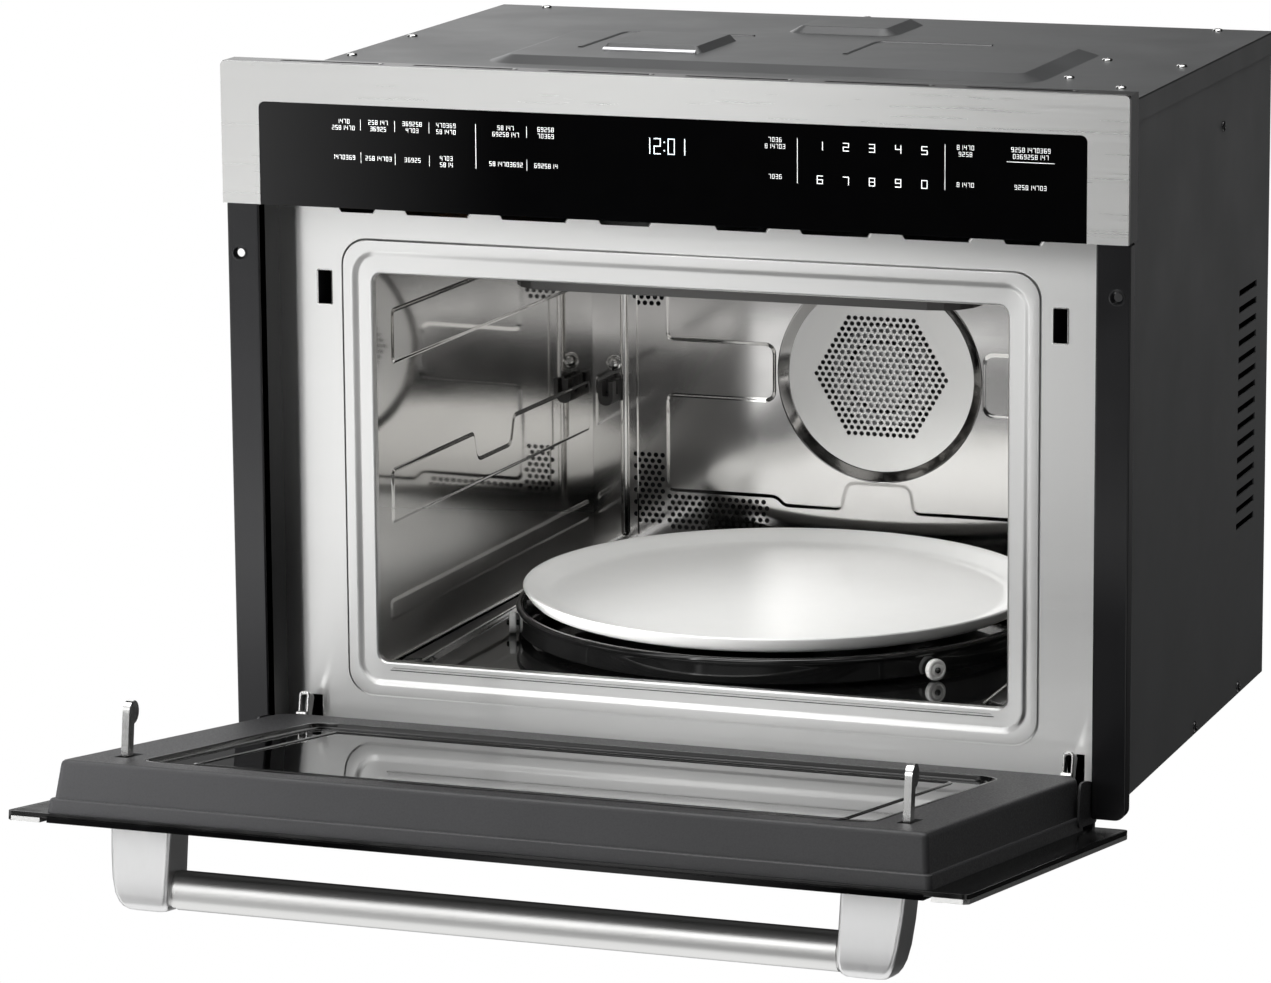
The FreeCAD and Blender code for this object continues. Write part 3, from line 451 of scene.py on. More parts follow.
def satin_paint(name, colour, low, high, grain=0.05):
    finish = Finish(name, colour, (low + high) / 2, Specular_IOR_Level=0.5)
    speckle = finish.noise(1400.0, detail=2.0)
    cloud = finish.noise(14.0)
    finish.rough(cloud, low, high)
    finish.tint(cloud, shade(colour, 0.9), shade(colour, 1.1))
    return finish.bump(speckle, grain, 0.25).material


WAVE_DEPTH = 0.06
# The matt foot of the cavity's side walls ends along a line that falls towards the back
MATT_FALL, MATT_FROM, MATT_TO = 0.206, 112.0, 140.0


def mirror_steel(name, colour, low, high, metallic=1.0):
    """Polished sheet with slight waves and fine rolling lines."""
    finish = Finish(name, colour, low, metallic)
    wave = finish.noise(16.0, detail=1.0)
    lines = finish.noise(20.0, (1.0, 40.0, 1.5), 3.0)
    finish.rough(lines, low, high)
    finish.tint(wave, shade(colour, 0.97), colour)
    return finish.bump(wave, WAVE_DEPTH, 0.2).material


def wall_steel(name, colour, polished, matt):
    """Polished steel that turns matt towards the foot of the wall, lower at the back than at the front."""
    finish = Finish(name, colour, polished, 1.0)
    wave = finish.noise(16.0, detail=1.0)
    height = finish.along((0.0, MATT_FALL, 1.0))
    finish.rough(height, matt, polished, MATT_FROM * MM, MATT_TO * MM)
    finish.tint(wave, shade(colour, 0.97), colour)
    return finish.bump(wave, WAVE_DEPTH, 0.2).material


def glossy(name, colour, roughness, coat=0.0, cloud=0.1, ior=1.5):
    finish = Finish(name, colour, roughness, Coat_Weight=coat, Coat_Roughness=0.03, IOR=ior)
    dust = finish.noise(60.0)
    finish.rough(dust, roughness * (1 - 3 * cloud), roughness * (1 + 3 * cloud))
    return finish.tint(dust, shade(colour, 1 - cloud), shade(colour, 1 + cloud)).material


def grained_plastic(name, colour):
    finish = Finish(name, colour, 0.5)
    grain = finish.noise(900.0, detail=2.0)
    cloud = finish.noise(12.0)
    finish.rough(grain, 0.42, 0.62)
    finish.tint(cloud, shade(colour, 0.92), shade(colour, 1.08))
    return finish.bump(grain, 0.12, 0.6).material


def glowing(name, colour, strength):
    finish = Finish(name, colour, 0.5, Emission_Color=(*colour, 1.0), Emission_Strength=strength)
    return finish.tint(finish.noise(300.0), shade(colour, 0.95), colour).material


BRUSH_X = (0.6, 30.0, 30.0)
CAVITY_STEEL = (0.76, 0.75, 0.735)
M = {
    "trim": brushed("trim steel", (0.65, 0.65, 0.64), 0.27, 0.31, BRUSH_X, 0.96),
    "plate": brushed("plate steel", (0.80, 0.80, 0.79), 0.29, 0.33, BRUSH_X, 0.96),
    "cavity": mirror_steel("polished cavity", CAVITY_STEEL, 0.05, 0.10),
    "satin": mirror_steel("satin cavity", CAVITY_STEEL, 0.09, 0.13),
    "wall": wall_steel("side wall steel", CAVITY_STEEL, 0.05, 0.42),
    "disc": mirror_steel("fan disc steel", (0.90, 0.895, 0.88), 0.20, 0.24, metallic=0.5),
    # The fan ring's steel is darkened to stand for the dark reflections and shade seen on it: painted shade
    "ring": mirror_steel("fan ring steel darkened as painted shade", (0.34, 0.335, 0.33), 0.08, 0.14),
    "bar": brushed("handle steel", (0.70, 0.70, 0.69), 0.32, 0.38, BRUSH_X),
    "gloss": glossy("black door enamel", (0.003, 0.003, 0.003), 0.14),
    "black": satin_paint("black powder coat", (0.004, 0.004, 0.0045), 0.20, 0.26),
    "casing": satin_paint("dark casing paint", (0.054, 0.055, 0.056), 0.34, 0.44),
    "plastic": grained_plastic("black grained plastic", (0.020, 0.020, 0.021)),
    "liner": grained_plastic("door liner plastic", (0.015, 0.015, 0.016)),
    "glass": glossy("black glass", (0.0008, 0.0008, 0.0009), 0.02),
    "pane": glossy("inner door glass", (0.0008, 0.0008, 0.0009), 0.03, ior=1.16),
    "enamel": glossy("black enamel", (0.006, 0.006, 0.006), 0.06, 0.5),
    "ceramic": glossy("white ceramic", (0.84, 0.84, 0.825), 0.32, 0.02, 0.008, 1.30),
    "bright": mirror_steel("plated metal", (0.74, 0.74, 0.73), 0.14, 0.24),
    "alloy": brushed("satin alloy", (0.74, 0.74, 0.74), 0.34, 0.44, (30.0, 30.0, 0.6)),
    "dull": brushed("plain sheet metal", (0.48, 0.48, 0.49), 0.36, 0.5, BRUSH_X),
    "heater": satin_paint("dark heater sheath and painted shade", (0.035, 0.034, 0.033), 0.4, 0.55),
    "white": grained_plastic("white plastic", (0.78, 0.78, 0.76)),
    "board": satin_paint("circuit board", (0.02, 0.09, 0.04), 0.35, 0.45),
    "copper": satin_paint("varnished winding", (0.17, 0.08, 0.03), 0.35, 0.5),
    # The white print glows though it is no lamp: a painted glow on the print
    "print": glowing("white print with painted glow", (0.85, 0.86, 0.86), 0.55),
    "digits": glowing("clock light", (0.85, 0.95, 1.0), 0.55),
}


# CAD nodes that are shown as they are: material, width of the softened edges, segments across an edge
SHOWN = (
    ("casing", 0.4, 2, ("base_panel", "left_side_panel", "right_side_panel", "rear_motor_cover")),
    ("casing", 0.0, 0, ("back_panel",)),
    ("trim", 0.5, 2, ("trim_frame",)),
    ("glass", 0.25, 2, ("control_glass",)),
    ("glass", 0.4, 2, ("door_glass",)),
    ("cavity", 0.0, 0, ("cavity_ceiling",)),
    ("black", 0.0, 0, ("door_screen",)),
    ("black", 0.6, 2, ("control_housing",)),
    ("black", 0.8, 2, ("hinge_brackets",)),
    ("bright", 0.4, 2, ("hinge_pins",)),
    ("bright", 0.5, 2, ("left_latch_hook", "right_latch_hook")),
    ("bright", 0.6, 2, ("element_hangers",)),
    # The fan housing and fan take the near-black heater colour so the grille holes read dark: painted shade;
    # the heaters are dark of their own
    ("heater", 0.0, 0, ("fan_housing", "ring_heater", "convection_fan")),
    ("heater", 0.8, 3, ("rack_hooks",)),
    ("heater", 2.6, 4, ("broil_element",)),
    ("dull", 0.0, 0, ("component_deck", "waveguide", "magnetron")),
    ("dull", 0.5, 2, ("turntable_motor",)),
    ("dull", 0.8, 2, ("convection_motor", "capacitor")),
    ("plastic", 0.0, 0, ("display_module", "blower_housing", "blower_wheel", "lamp", "latch_switches")),
    ("plastic", 0.5, 2, ("drive_coupler",)),
    ("plastic", 0.6, 2, ("cable_gland",)),
    ("board", 0.0, 0, ("control_board",)),
    ("copper", 0.8, 2, ("transformer",)),
)


def dress_nodes():
    for finish, edge, segments, nodes in SHOWN:
        for node in nodes:
            dress(node, M[finish], edge, segments)


# Casing: pads are x from and to, y from and to, and the width of their sloping edge
COVER_RISE = 4.5
COVER_LIP = 15.0
PLATFORM = (-175.0, 201.0, 140.0, 302.0, 14.0)
COVER_PAD = (-111.0, -40.0, 189.0, 265.0, 4.5)
REAR_PAD = (-35.0, 43.0, 346.0, 422.0, 9.0)
COVER_RIBS = (((-128.0, 200.0), (-128.0, 288.0), (-37.0, 288.0)),
              ((50.0, 214.0), (50.0, 284.0), (129.0, 284.0)))
RIB_R, RIB_SUNK, RIB_BEND = 3.0, 2.1, 10.0
STRIP_ENDS = (COVER_PAD[0] + 3.0, COVER_PAD[1] - 4.0)
STRIP_SECTION = ((-1.2, 0.0), (-1.2, 0.9), (-0.2, 1.9), (0.8, 2.3), (1.4, 1.9), (1.4, 0.0))


def make_top_cover():
    x0, x1, y0, y1 = span("top_cover")[:4]
    top = CASING_TOP
    cover = Solid()
    cover.sheet([(x0, y0), (x1, y0), (x1, y1), (x0, y1)], [], top - SHEET, top, level)
    lip = top - COVER_LIP
    cover.block(x0, x0 + SHEET, y0, y1, lip, top - 0.2, 0.2)
    cover.block(x1 - SHEET, x1, y0, y1, lip, top - 0.2, 0.2)
    cover.block(x0 + SHEET, x1 - SHEET, y1 - SHEET, y1, lip, top - 0.2, 0.2)
    upper = top + COVER_RISE
    for (a0, a1, b0, b1, slope), base in ((PLATFORM, top), (COVER_PAD, upper), (REAR_PAD, top)):
        cover.pad(rounded(a0, a1, b0, b1, 1.4 * slope, 5), base, COVER_RISE, slope, level, FLAT_STEP)
    for path in COVER_RIBS:
        curve = softened(path, RIB_BEND, closed=False)
        cover.tube([(x, y, upper - RIB_SUNK) for x, y in curve], RIB_R, 14)
    piece("cover_panel", cover, M["casing"], "casing", ["top_cover"])
    strip = Solid()
    strip.loft([[(x, COVER_PAD[2] + dy, upper + dz) for dy, dz in STRIP_SECTION] for x in STRIP_ENDS],
               start=True, end=True)
    piece("pad_strip", strip, M["dull"], "casing")


def pan_head(solid, centre, axis, radius=3.5, height=1.6):
    profile = [(radius, -0.4), (radius, 0.35 * height), (0.9 * radius, 0.7 * height),
               (0.65 * radius, 0.93 * height), (0.3 * radius, height), (0.22 * radius, 0.55 * height)]
    solid.turned(profile, centre, axis, 18)


# Cover screws from the left edge, from the right edge and along the back, then the screws of the sides
LEFT_SCREWS = ((5.8, 151.0), (5.8, 257.0))
RIGHT_SCREWS = ((9.8, 248.0), (63.8, 265.0), (63.8, 173.0), (19.8, 135.0))
BACK_SCREWS = (34.0 - CASING_HALF, -6.0, CASING_HALF - 34.0)
BACK_SCREW_Y = BACK_Y - 8.0
SIDE_SCREWS = ((316.0, CASING_TOP - 47.0), (260.0, 5.0), (378.0, 5.0))


def make_screws():
    heads = [(-CASING_HALF + by, y) for by, y in LEFT_SCREWS]
    heads += [(CASING_HALF - by, y) for by, y in RIGHT_SCREWS]
    heads += [(x, BACK_SCREW_Y) for x in BACK_SCREWS]
    top = Solid()
    for x, y in heads:
        pan_head(top, (x, y, CASING_TOP), (0, 0, 1))
    piece("cover_screws", top, M["bright"], "casing", ["casing_screws"])
    side = Solid()
    side_x = span("right_side_panel")[1]
    for y, z in SIDE_SCREWS:
        for turn in (-1, 1):
            pan_head(side, (turn * side_x, y, z), (turn, 0, 0))
    piece("side_screws", side, M["black"], "casing")


# Front plate with its raised ring, vent notches and turned-in opening
def grown(one, two, share):
    """A frame part of the way from one frame to another."""
    return tuple(a + (b - a) * share for a, b in zip(one, two))


def make_front_plate():
    outline = [(-CASING_HALF, PLATE_BOTTOM)]
    for x0, x1 in ((-ARM_BAY[1], -ARM_BAY[0]), (ARM_BAY[0], ARM_BAY[1])):
        outline += [(x0, PLATE_BOTTOM), (x0, ARM_BAY[2]), (x1, ARM_BAY[2]), (x1, PLATE_BOTTOM)]
    outline += [(CASING_HALF, PLATE_BOTTOM), (CASING_HALF, PLATE_TOP), (-CASING_HALF, PLATE_TOP)]
    holes = [frame_loop(RING_OUTER)]
    half, low, high = LATCH_SLOT
    for side in (-1, 1):
        holes.append(rounded(side * LATCH_X - half, side * LATCH_X + half, low, high, 0.4, 2))
        for x0, x1 in NOTCH_SPANS:
            a, b = sorted((side * x0, side * x1))
            holes.append([(a + NOTCH_SLANT, NOTCH_Z[0]), (b - NOTCH_SLANT, NOTCH_Z[0]),
                          (b, NOTCH_Z[1]), (a, NOTCH_Z[1])])
    plate = Solid()
    plate.sheet(outline, holes, PLATE_Y, PLATE_BACK, upright)

    profile = []
    for across, up in RING_STEP:
        profile.append((frame_loop(RING_OUTER, -RING_EDGE * across), -RING_RISE * up))
    for across, down in SOFT_STEP:
        profile.append((frame_loop(RING_INNER, RING_SOFT * (1 - across)), -RING_RISE * (1 - down)))
    for k in range(5):
        a = math.pi / 8 * k
        profile.append((frame_loop(OPENING, LIP_R * (1 - math.sin(a))), LIP_R * (1 - math.cos(a))))
    for back_of, grow, depth in ((OPENING, 0.0, LIP_DEPTH), (OPENING, 0.8, LIP_DEPTH), (OPENING, 1.2, 2.0),
                                 (RING_INNER, 0.0, SHEET), (RING_OUTER, 0.0, SHEET)):
        profile.append((frame_loop(back_of, grow), depth))
    plate.loft([[upright(u, v, PLATE_Y + w) for u, v in loop] for loop, w in profile], wrap=True)
    piece("front_panel", plate, M["plate"], "casing", ["front_plate"])

    lips = Solid()
    for side in (-1, 1):
        for x0, x1 in NOTCH_SPANS:
            b = max(side * x0, side * x1)
            lips.tube([(b - NOTCH_SLANT - 0.8, PLATE_Y + 0.9, NOTCH_Z[0] + 0.2),
                       (b - 0.8, PLATE_Y + 0.9, NOTCH_Z[1] - 0.3)], 1.1, 8)
    rim = ((0.0, 0.4), (0.0, -0.1), (-0.35, -0.35), (-0.8, -0.3), (-1.0, 0.0), (-1.0, 0.4))
    for side in (-1, 1):
        slot = rounded(side * LATCH_X - half, side * LATCH_X + half, low, high, 0.6, 2)
        lips.bordered(lambda by: inset(slot, by), rim, PLATE_Y, wrap=True)
    piece("notch_lips", lips, M["bright"], "casing")


FLANGE_SHEET = 1.2
FLANGE_LIP = 10.0
FLANGE_CORNER, FLANGE_BEND = 7.0, 1.6
SCREW_HOLE = (289.3, 332.8)
FOLD = ((1.0, 0.0), (0.45, 0.12), (0.12, 0.45), (0.0, 1.0), (0.0, FLANGE_LIP), (FLANGE_SHEET, FLANGE_LIP),
        (FLANGE_SHEET, FLANGE_SHEET))
DIMPLE = ((4.4, 0.3), (5.3, -0.1), (4.9, -0.3), (4.2, -0.2), (2.9, 1.6), (2.7, 2.2), (2.7, 2.8), (3.3, 2.8))


def make_flange(name, side):
    """Folded flange: face with a rounded lower corner, outer lip, return to the plate, countersunk hole."""
    low, high = span(name)[4:]
    y = span(name)[2]
    near, far = sorted((side * CASING_HALF, side * FRONT_HALF))
    radii = [FLANGE_BEND] * 4
    radii[1 if side > 0 else 0] = FLANGE_CORNER
    outline = rounded(near, far, low, high, radii)
    flange = Solid()
    flange.bordered(lambda by: inset(outline, by), FOLD, y, wrap=True)
    hole = (side * SCREW_HOLE[0], SCREW_HOLE[1])
    flange.sheet(inset(outline, FOLD[0][0]), [circle(*hole, DIMPLE[0][0], 32)], y, y + FLANGE_SHEET, upright)
    flange.turned(DIMPLE, (hole[0], y, hole[1]), (0, 1, 0), 32, wrap=True)
    wall = sorted((side * CASING_HALF, side * (CASING_HALF + FLANGE_SHEET)))
    flange.block(*wall, y + 1.0, PLATE_BACK, low + 1.5, high, 0.2)
    piece(name + "_fold", flange, M["black"], "casing", [name])


# Control panel
SEGMENTS = {"0": "abcdef", "1": "bc", "2": "abged", "3": "abgcd", "4": "fgbc", "5": "afgcd", "6": "afgedc",
            "7": "abc", "8": "abcdefg", "9": "abcdfg"}
PRINT_OUT, PRINT_IN = 0.06, 0.02


def print_bar(solid, x0, x1, z0, z1, y):
    """A printed bar, a film on the glass whose face is at y."""
    solid.block(x0, x1, y - PRINT_OUT, y + PRINT_IN, z0, z1, PRINT_IN)


def draw_digit(solid, digit, x, z, width, height, stroke, y):
    """One seven-stroke digit with its middle at x, z."""
    half, tall, s = width / 2, height / 2, stroke / 2
    bars = {
        "a": (-half, half, tall - stroke, tall), "g": (-half, half, -s, s),
        "d": (-half, half, -tall, stroke - tall),
        "f": (-half, stroke - half, 0, tall), "b": (half - stroke, half, 0, tall),
        "e": (-half, stroke - half, -tall, 0), "c": (half - stroke, half, -tall, 0),
    }
    for name in SEGMENTS[digit]:
        x0, x1, z0, z1 = bars[name]
        print_bar(solid, x + x0, x + x1, z + z0, z + z1, y)


ROW_Z = (419.4, 398.6)
LINE_GAP = 4.1
# Width, height and stroke of a digit in the labels, on the number keys and on the clock
LABEL_DIGIT, LABEL_PITCH = (1.5, 2.8, 0.24), 2.3
KEY_DIGIT, KEY_X, KEY_PITCH, KEY_DROP = (3.9, 5.2, 0.48), 102.1, 16.72, 0.8
CLOCK_DIGIT, CLOCK_Z = (4.6, 10.0, 0.55), 414.2
CLOCK = (("1", -10.5), ("2", -3.6), ("0", 5.6), ("1", 12.4))
COLON_X, COLON_Z, COLON_HALF = (0.6, 1.5), (411.6, 416.8), 0.45
# Upright lines between the fields: short ones in each row, long ones across both rows, half width and overlap
SHORT_LINES, SHORT_HALF, SHORT_REACH = (-202.0, -178.7, -155.5, -90.0), 0.12, 3.5
LONG_LINES, LONG_HALF, LONG_REACH = (-124.1, 87.6, 182.0), 0.15, 3.6
START_LINE = (221.0, 251.0, ROW_Z[0] - 5.6, ROW_Z[0] - 5.3)
# Middle of each label and the number of digits in its lines, upper row then lower row
LABELS = ((-213.7, (4, 7), (7,)), (-190.0, (6, 5), (8,)), (-166.9, (6, 4), (5,)), (-144.1, (6, 6), (4, 4)),
          (-104.0, (5, 8), (10,)), (-77.3, (5, 5), (7,)), (73.2, (4, 6), (4,)), (194.9, (5, 4), (5,)),
          (236.0, (11, 10), (9,)))


def draw_label(solid, counts, x, z, first, y):
    """Lines of plain digits, one under the other, about the middle x, z."""
    for line, count in enumerate(counts):
        line_z = z + LINE_GAP * ((len(counts) - 1) / 2 - line)
        start = x - LABEL_PITCH * (count - 1) / 2
        for k in range(count):
            digit = str((first + line + 3 * k) % 10)
            draw_digit(solid, digit, start + LABEL_PITCH * k, line_z, *LABEL_DIGIT, y)


def make_panel_print():
    y = span("control_glass")[2]
    marks = Solid()
    for k, (x, *rows) in enumerate(LABELS):
        for z, counts in zip(ROW_Z, rows):
            draw_label(marks, counts, x, z, k + 1, y)
    for x in SHORT_LINES:
        for z in ROW_Z:
            print_bar(marks, x - SHORT_HALF, x + SHORT_HALF, z - SHORT_REACH, z + SHORT_REACH, y)
    for x in LONG_LINES:
        print_bar(marks, x - LONG_HALF, x + LONG_HALF, ROW_Z[1] - LONG_REACH, ROW_Z[0] + LONG_REACH, y)
    print_bar(marks, *START_LINE, y)
    for z, digits in zip(ROW_Z, ("12345", "67890")):
        for k, digit in enumerate(digits):
            draw_digit(marks, digit, KEY_X + KEY_PITCH * k, z - KEY_DROP, *KEY_DIGIT, y)
    piece("panel_print", marks, M["print"], "casing")

    clock = Solid()
    for digit, x in CLOCK:
        draw_digit(clock, digit, x, CLOCK_Z, *CLOCK_DIGIT, y)
    for z in COLON_Z:
        print_bar(clock, *COLON_X, z - COLON_HALF, z + COLON_HALF, y)
    piece("clock_digits", clock, M["digits"], "casing")


PIN_COUNT, PIN_PITCH, PIN_SHIFT, PIN_Y = 6, 90.6, 33.0, 14.5
PIN_PROFILE = ((1.3, -1.2), (1.3, 0.1), (0.9, 0.25))


def make_vent_pins():
    pins = Solid()
    z = span("control_housing")[5]
    for k in range(PIN_COUNT):
        x = (k - (PIN_COUNT - 1) / 2) * PIN_PITCH + PIN_SHIFT
        pins.turned(PIN_PROFILE, (x, PIN_Y, z), (0, 0, 1), 12)
    piece("vent_pins", pins, M["bright"], "casing")


# Cavity: rails are corners along y and z
MID_RAIL = [(68, 148), (412, 148), (411, 184.5), (272, 185), (266, 166), (210, 166), (205, 185), (68, 185)]
LOW_RAIL = [(63, 84), (409, 84), (409, 99), (63, 99)]
HIGH_RAIL = [(71, 253), (379, 253), (379, 290), (71, 290)]
RAIL_RISE, RAIL_SLOPE, RAIL_CORNER = 1.0, 2.8, 5.0


def make_side_wall(name, side):
    wall = Solid()
    end = CAVITY_BACK_Y + SHEET
    wall.sheet([(PLATE_BACK, FLOOR_Z), (end, FLOOR_Z), (end, CEILING_Z), (PLATE_BACK, CEILING_Z)], [],
               0.0, -SHEET, side_wall(side))
    for corners in (MID_RAIL, LOW_RAIL, HIGH_RAIL):
        wall.pad(softened(corners, RAIL_CORNER), 0.0, RAIL_RISE, RAIL_SLOPE, side_wall(side))
    piece(name + "_panel", wall, M["wall"], "casing", [name])


HOLE_PITCH, HOLE_R = 5.0, 1.75
HOLE_ROW = HOLE_PITCH * 0.866
HOLE_FIELDS = ((-170.0, -150.0, 236.0, 331.0), (-170.0, -150.0, 80.0, 131.7), (-145.0, -72.0, 80.0, 102.6))


def hole_field(x0, x1, z0, z1):
    """Staggered round holes that fit in a rectangle."""
    holes = []
    for row in range(int((z1 - z0) / HOLE_ROW) + 1):
        z = z1 - row * HOLE_ROW
        x = x0 + (HOLE_PITCH / 2 if row % 2 else 0.0)
        while x <= x1 + 0.01:
            holes.append(circle(x, z, HOLE_R, 10))
            x += HOLE_PITCH
    return holes


FIELD = [(-147.0, 106.0), (-66.0, 106.0), (-60.0, 100.0), (-16.0, 100.0), (-13.0, 119.0), (31.0, 119.0),
         (34.0, 100.0), (167.0, 100.0), (167.0, 175.0), (87.0, 175.0), (87.0, 215.0), (167.0, 215.0),
         (167.0, 334.0), (-147.0, 334.0), (-147.0, 214.0), (-68.0, 214.0), (-68.0, 177.0), (-147.0, 177.0)]
FIELD_RISE, FIELD_SLOPE, FIELD_CORNER = 0.6, 2.8, 6.0
FAN_R, FAN_FLOOR_R, FAN_DEPTH = 73.5, 67.0, 3.5
BEAD_X, BEAD_R, BEAD_FOOT = 178.0, 3.0, 75.0
WELD_X, WELD_Z, WELD_R = 168.5, (74.0, 331.0), 0.7


def make_back_wall():
    wall = Solid()
    half = CAVITY_REAR_HALF
    fan_hole = circle(FAN_X, FAN_Z, FAN_R, 96)
    holes = [fan_hole]
    for field in HOLE_FIELDS:
        holes += hole_field(*field)
    wall.sheet([(-half, FLOOR_Z), (half, FLOOR_Z), (half, CEILING_Z), (-half, CEILING_Z)], holes, 0.0, -SHEET,
               back_wall)
    wall.pad(softened(FIELD, FIELD_CORNER), 0.0, FIELD_RISE, FIELD_SLOPE, back_wall, SOFT_STEP, [fan_hole])
    bead = [(0.4, -3.0), (1.6, -2.6), (2.5, -1.7), (BEAD_R, 0.0), (BEAD_R, CEILING_Z - BEAD_FOOT - 3.0)]
    for x in (-BEAD_X, BEAD_X):
        wall.turned(bead, back_wall(x, BEAD_FOOT, 0.2), (0, 0, 1), 24)
    for x in (-WELD_X, WELD_X):
        wall.tube([back_wall(x, z, -0.1) for z in WELD_Z], WELD_R, 8)
    piece("rear_wall_panel", wall, M["satin"], "casing", ["cavity_back_wall"])


GRILLE_RINGS, GRILLE_PITCH, GRILLE_HOLE, GRILLE_SHEET = 10, 4.7, 1.72, 0.8
# Fan hub behind the grille: distance to it, disc and ring by radius and depth
HUB_SUNK = 2.2
HUB_DISC = ((1.0, 0.0), (22.0, 0.0), (23.5, 0.8), (23.5, 1.8), (1.0, 1.8))
HUB_RING = ((26.5, 1.0), (35.0, 1.0), (36.0, 1.6), (36.0, 2.4), (26.5, 2.4))


def grille_holes():
    """Round holes on a triangular pitch that fill a hexagon about the fan's axis."""
    holes = []
    rings = GRILLE_RINGS
    for q in range(-rings, rings + 1):
        for r in range(max(-rings, -q - rings), min(rings, rings - q) + 1):
            x = FAN_X + GRILLE_PITCH * (q + r / 2)
            z = FAN_Z + GRILLE_PITCH * math.sqrt(3) / 2 * r
            holes.append(circle(x, z, GRILLE_HOLE, 8))
    return holes


def make_fan_cover():
    back = -FAN_DEPTH - GRILLE_SHEET
    cover = Solid()
    cover.sheet(circle(FAN_X, FAN_Z, FAN_FLOOR_R, 96), grille_holes(), -FAN_DEPTH, back, back_wall)
    rim = [(FAN_R + 0.9, FIELD_RISE), (FAN_R + 0.5, FIELD_RISE + 0.5), (FAN_R - 0.4, FIELD_RISE + 0.3),
           (FAN_FLOOR_R + 0.8, -FAN_DEPTH + 0.4), (FAN_FLOOR_R, -FAN_DEPTH), (FAN_FLOOR_R, back),
           (FAN_R - 0.3, back), (FAN_R - 0.2, FIELD_RISE - 0.6)]
    piece("fan_grille", cover, M["disc"], "casing", ["fan_cover"])
    ring = Solid()
    ring.turned([(r, -w) for r, w in rim], (FAN_X, CAVITY_BACK_Y, FAN_Z), (0, 1, 0), 96, wrap=True)
    piece("fan_ring", ring, M["ring"], "casing")
    hub = Solid()
    middle = (FAN_X, CAVITY_BACK_Y + FAN_DEPTH + HUB_SUNK, FAN_Z)
    hub.turned(HUB_DISC, middle, (0, 1, 0), 64)
    hub.turned(HUB_RING, middle, (0, 1, 0), 64, wrap=True)
    piece("fan_front_disc", hub, M["dull"], "fan_wheel")


# Pressed strips of the floor by corners x and y, with corner radius, rise and slope
SIDE_STRIP = ((186.0, 70.0), (208.0, 52.0), (199.0, 410.0), (186.0, 400.0))
SIDE_PRESS = (8.0, 2.4, 4.0)
FRONT_STRIP = ((-205.0, 38.6), (205.0, 38.6), (196.0, 45.6), (-196.0, 45.6))
FRONT_PRESS = (3.0, 1.6, 2.6)
# Seams by distance from the wall or x, and height, with the points along y; the tube at x is a bright bend
# line of the enamel strip, a painted highlight
WALL_SEAMS, WALL_SEAM_Y = ((1.6, 1.2), (5.0, 2.2)), (46.0, TABLE_Y, 412.0)
STRIP_HIGHLIGHT_LINE, STRIP_HIGHLIGHT_LINE_Y = (190.0, 1.9), (60.0, TABLE_Y, 400.0)
SEAM_R = 1.1
SHAFT_HOLE_R = 6.0


def make_cavity_floor():
    floor = Solid()
    plan = [(-wall_x(PLATE_BACK), PLATE_BACK), (wall_x(PLATE_BACK), PLATE_BACK),
            (CAVITY_REAR_HALF, CAVITY_BACK_Y + SHEET), (-CAVITY_REAR_HALF, CAVITY_BACK_Y + SHEET)]
    floor.sheet(plan, [circle(0.0, TABLE_Y, SHAFT_HOLE_R, 24)], FLOOR_Z - SHEET, FLOOR_Z, level)
    strips = [([(side * x, y) for x, y in SIDE_STRIP][::side], SIDE_PRESS) for side in (-1, 1)]
    for strip, (corner, rise, slope) in strips + [(FRONT_STRIP, FRONT_PRESS)]:
        floor.pad(softened(strip, corner), FLOOR_Z, rise, slope, level)
    piece("floor_panel", floor, M["enamel"], "casing", ["cavity_floor"])
    seams_and_highlight_lines = Solid()
    for side in (-1, 1):
        for from_wall, height in WALL_SEAMS:
            path = [(side * (wall_x(y) - from_wall), y, FLOOR_Z + height) for y in WALL_SEAM_Y]
            seams_and_highlight_lines.tube(path, SEAM_R)
        # Bright tube on the strip's bend: a painted highlight line on the enamel
        x, height = STRIP_HIGHLIGHT_LINE
        seams_and_highlight_lines.tube([(side * x, y, FLOOR_Z + height) for y in STRIP_HIGHLIGHT_LINE_Y], SEAM_R)
    piece("floor_seams_and_highlight_lines", seams_and_highlight_lines, M["bright"], "casing")


BOLT_PROFILE = ((5.8, 0.0), (5.8, 1.0), (5.2, 1.6), (4.3, 1.8), (4.1, 3.4), (3.2, 4.6), (1.9, 5.2),
                (1.4, 4.2))
BOLT_HALF = 5.0


def make_rack_bolts():
    bolts = Solid()
    edge, low, high = (span("rack_bolts")[k] for k in (1, 4, 5))
    for side in (-1, 1):
        middle = (side * (edge - BOLT_HALF), CAVITY_BACK_Y, (low + high) / 2)
        bolts.turned(BOLT_PROFILE, middle, (0, -1, 0), 28)
    piece("rack_bolt_heads", bolts, M["bright"], "casing", ["rack_bolts"])


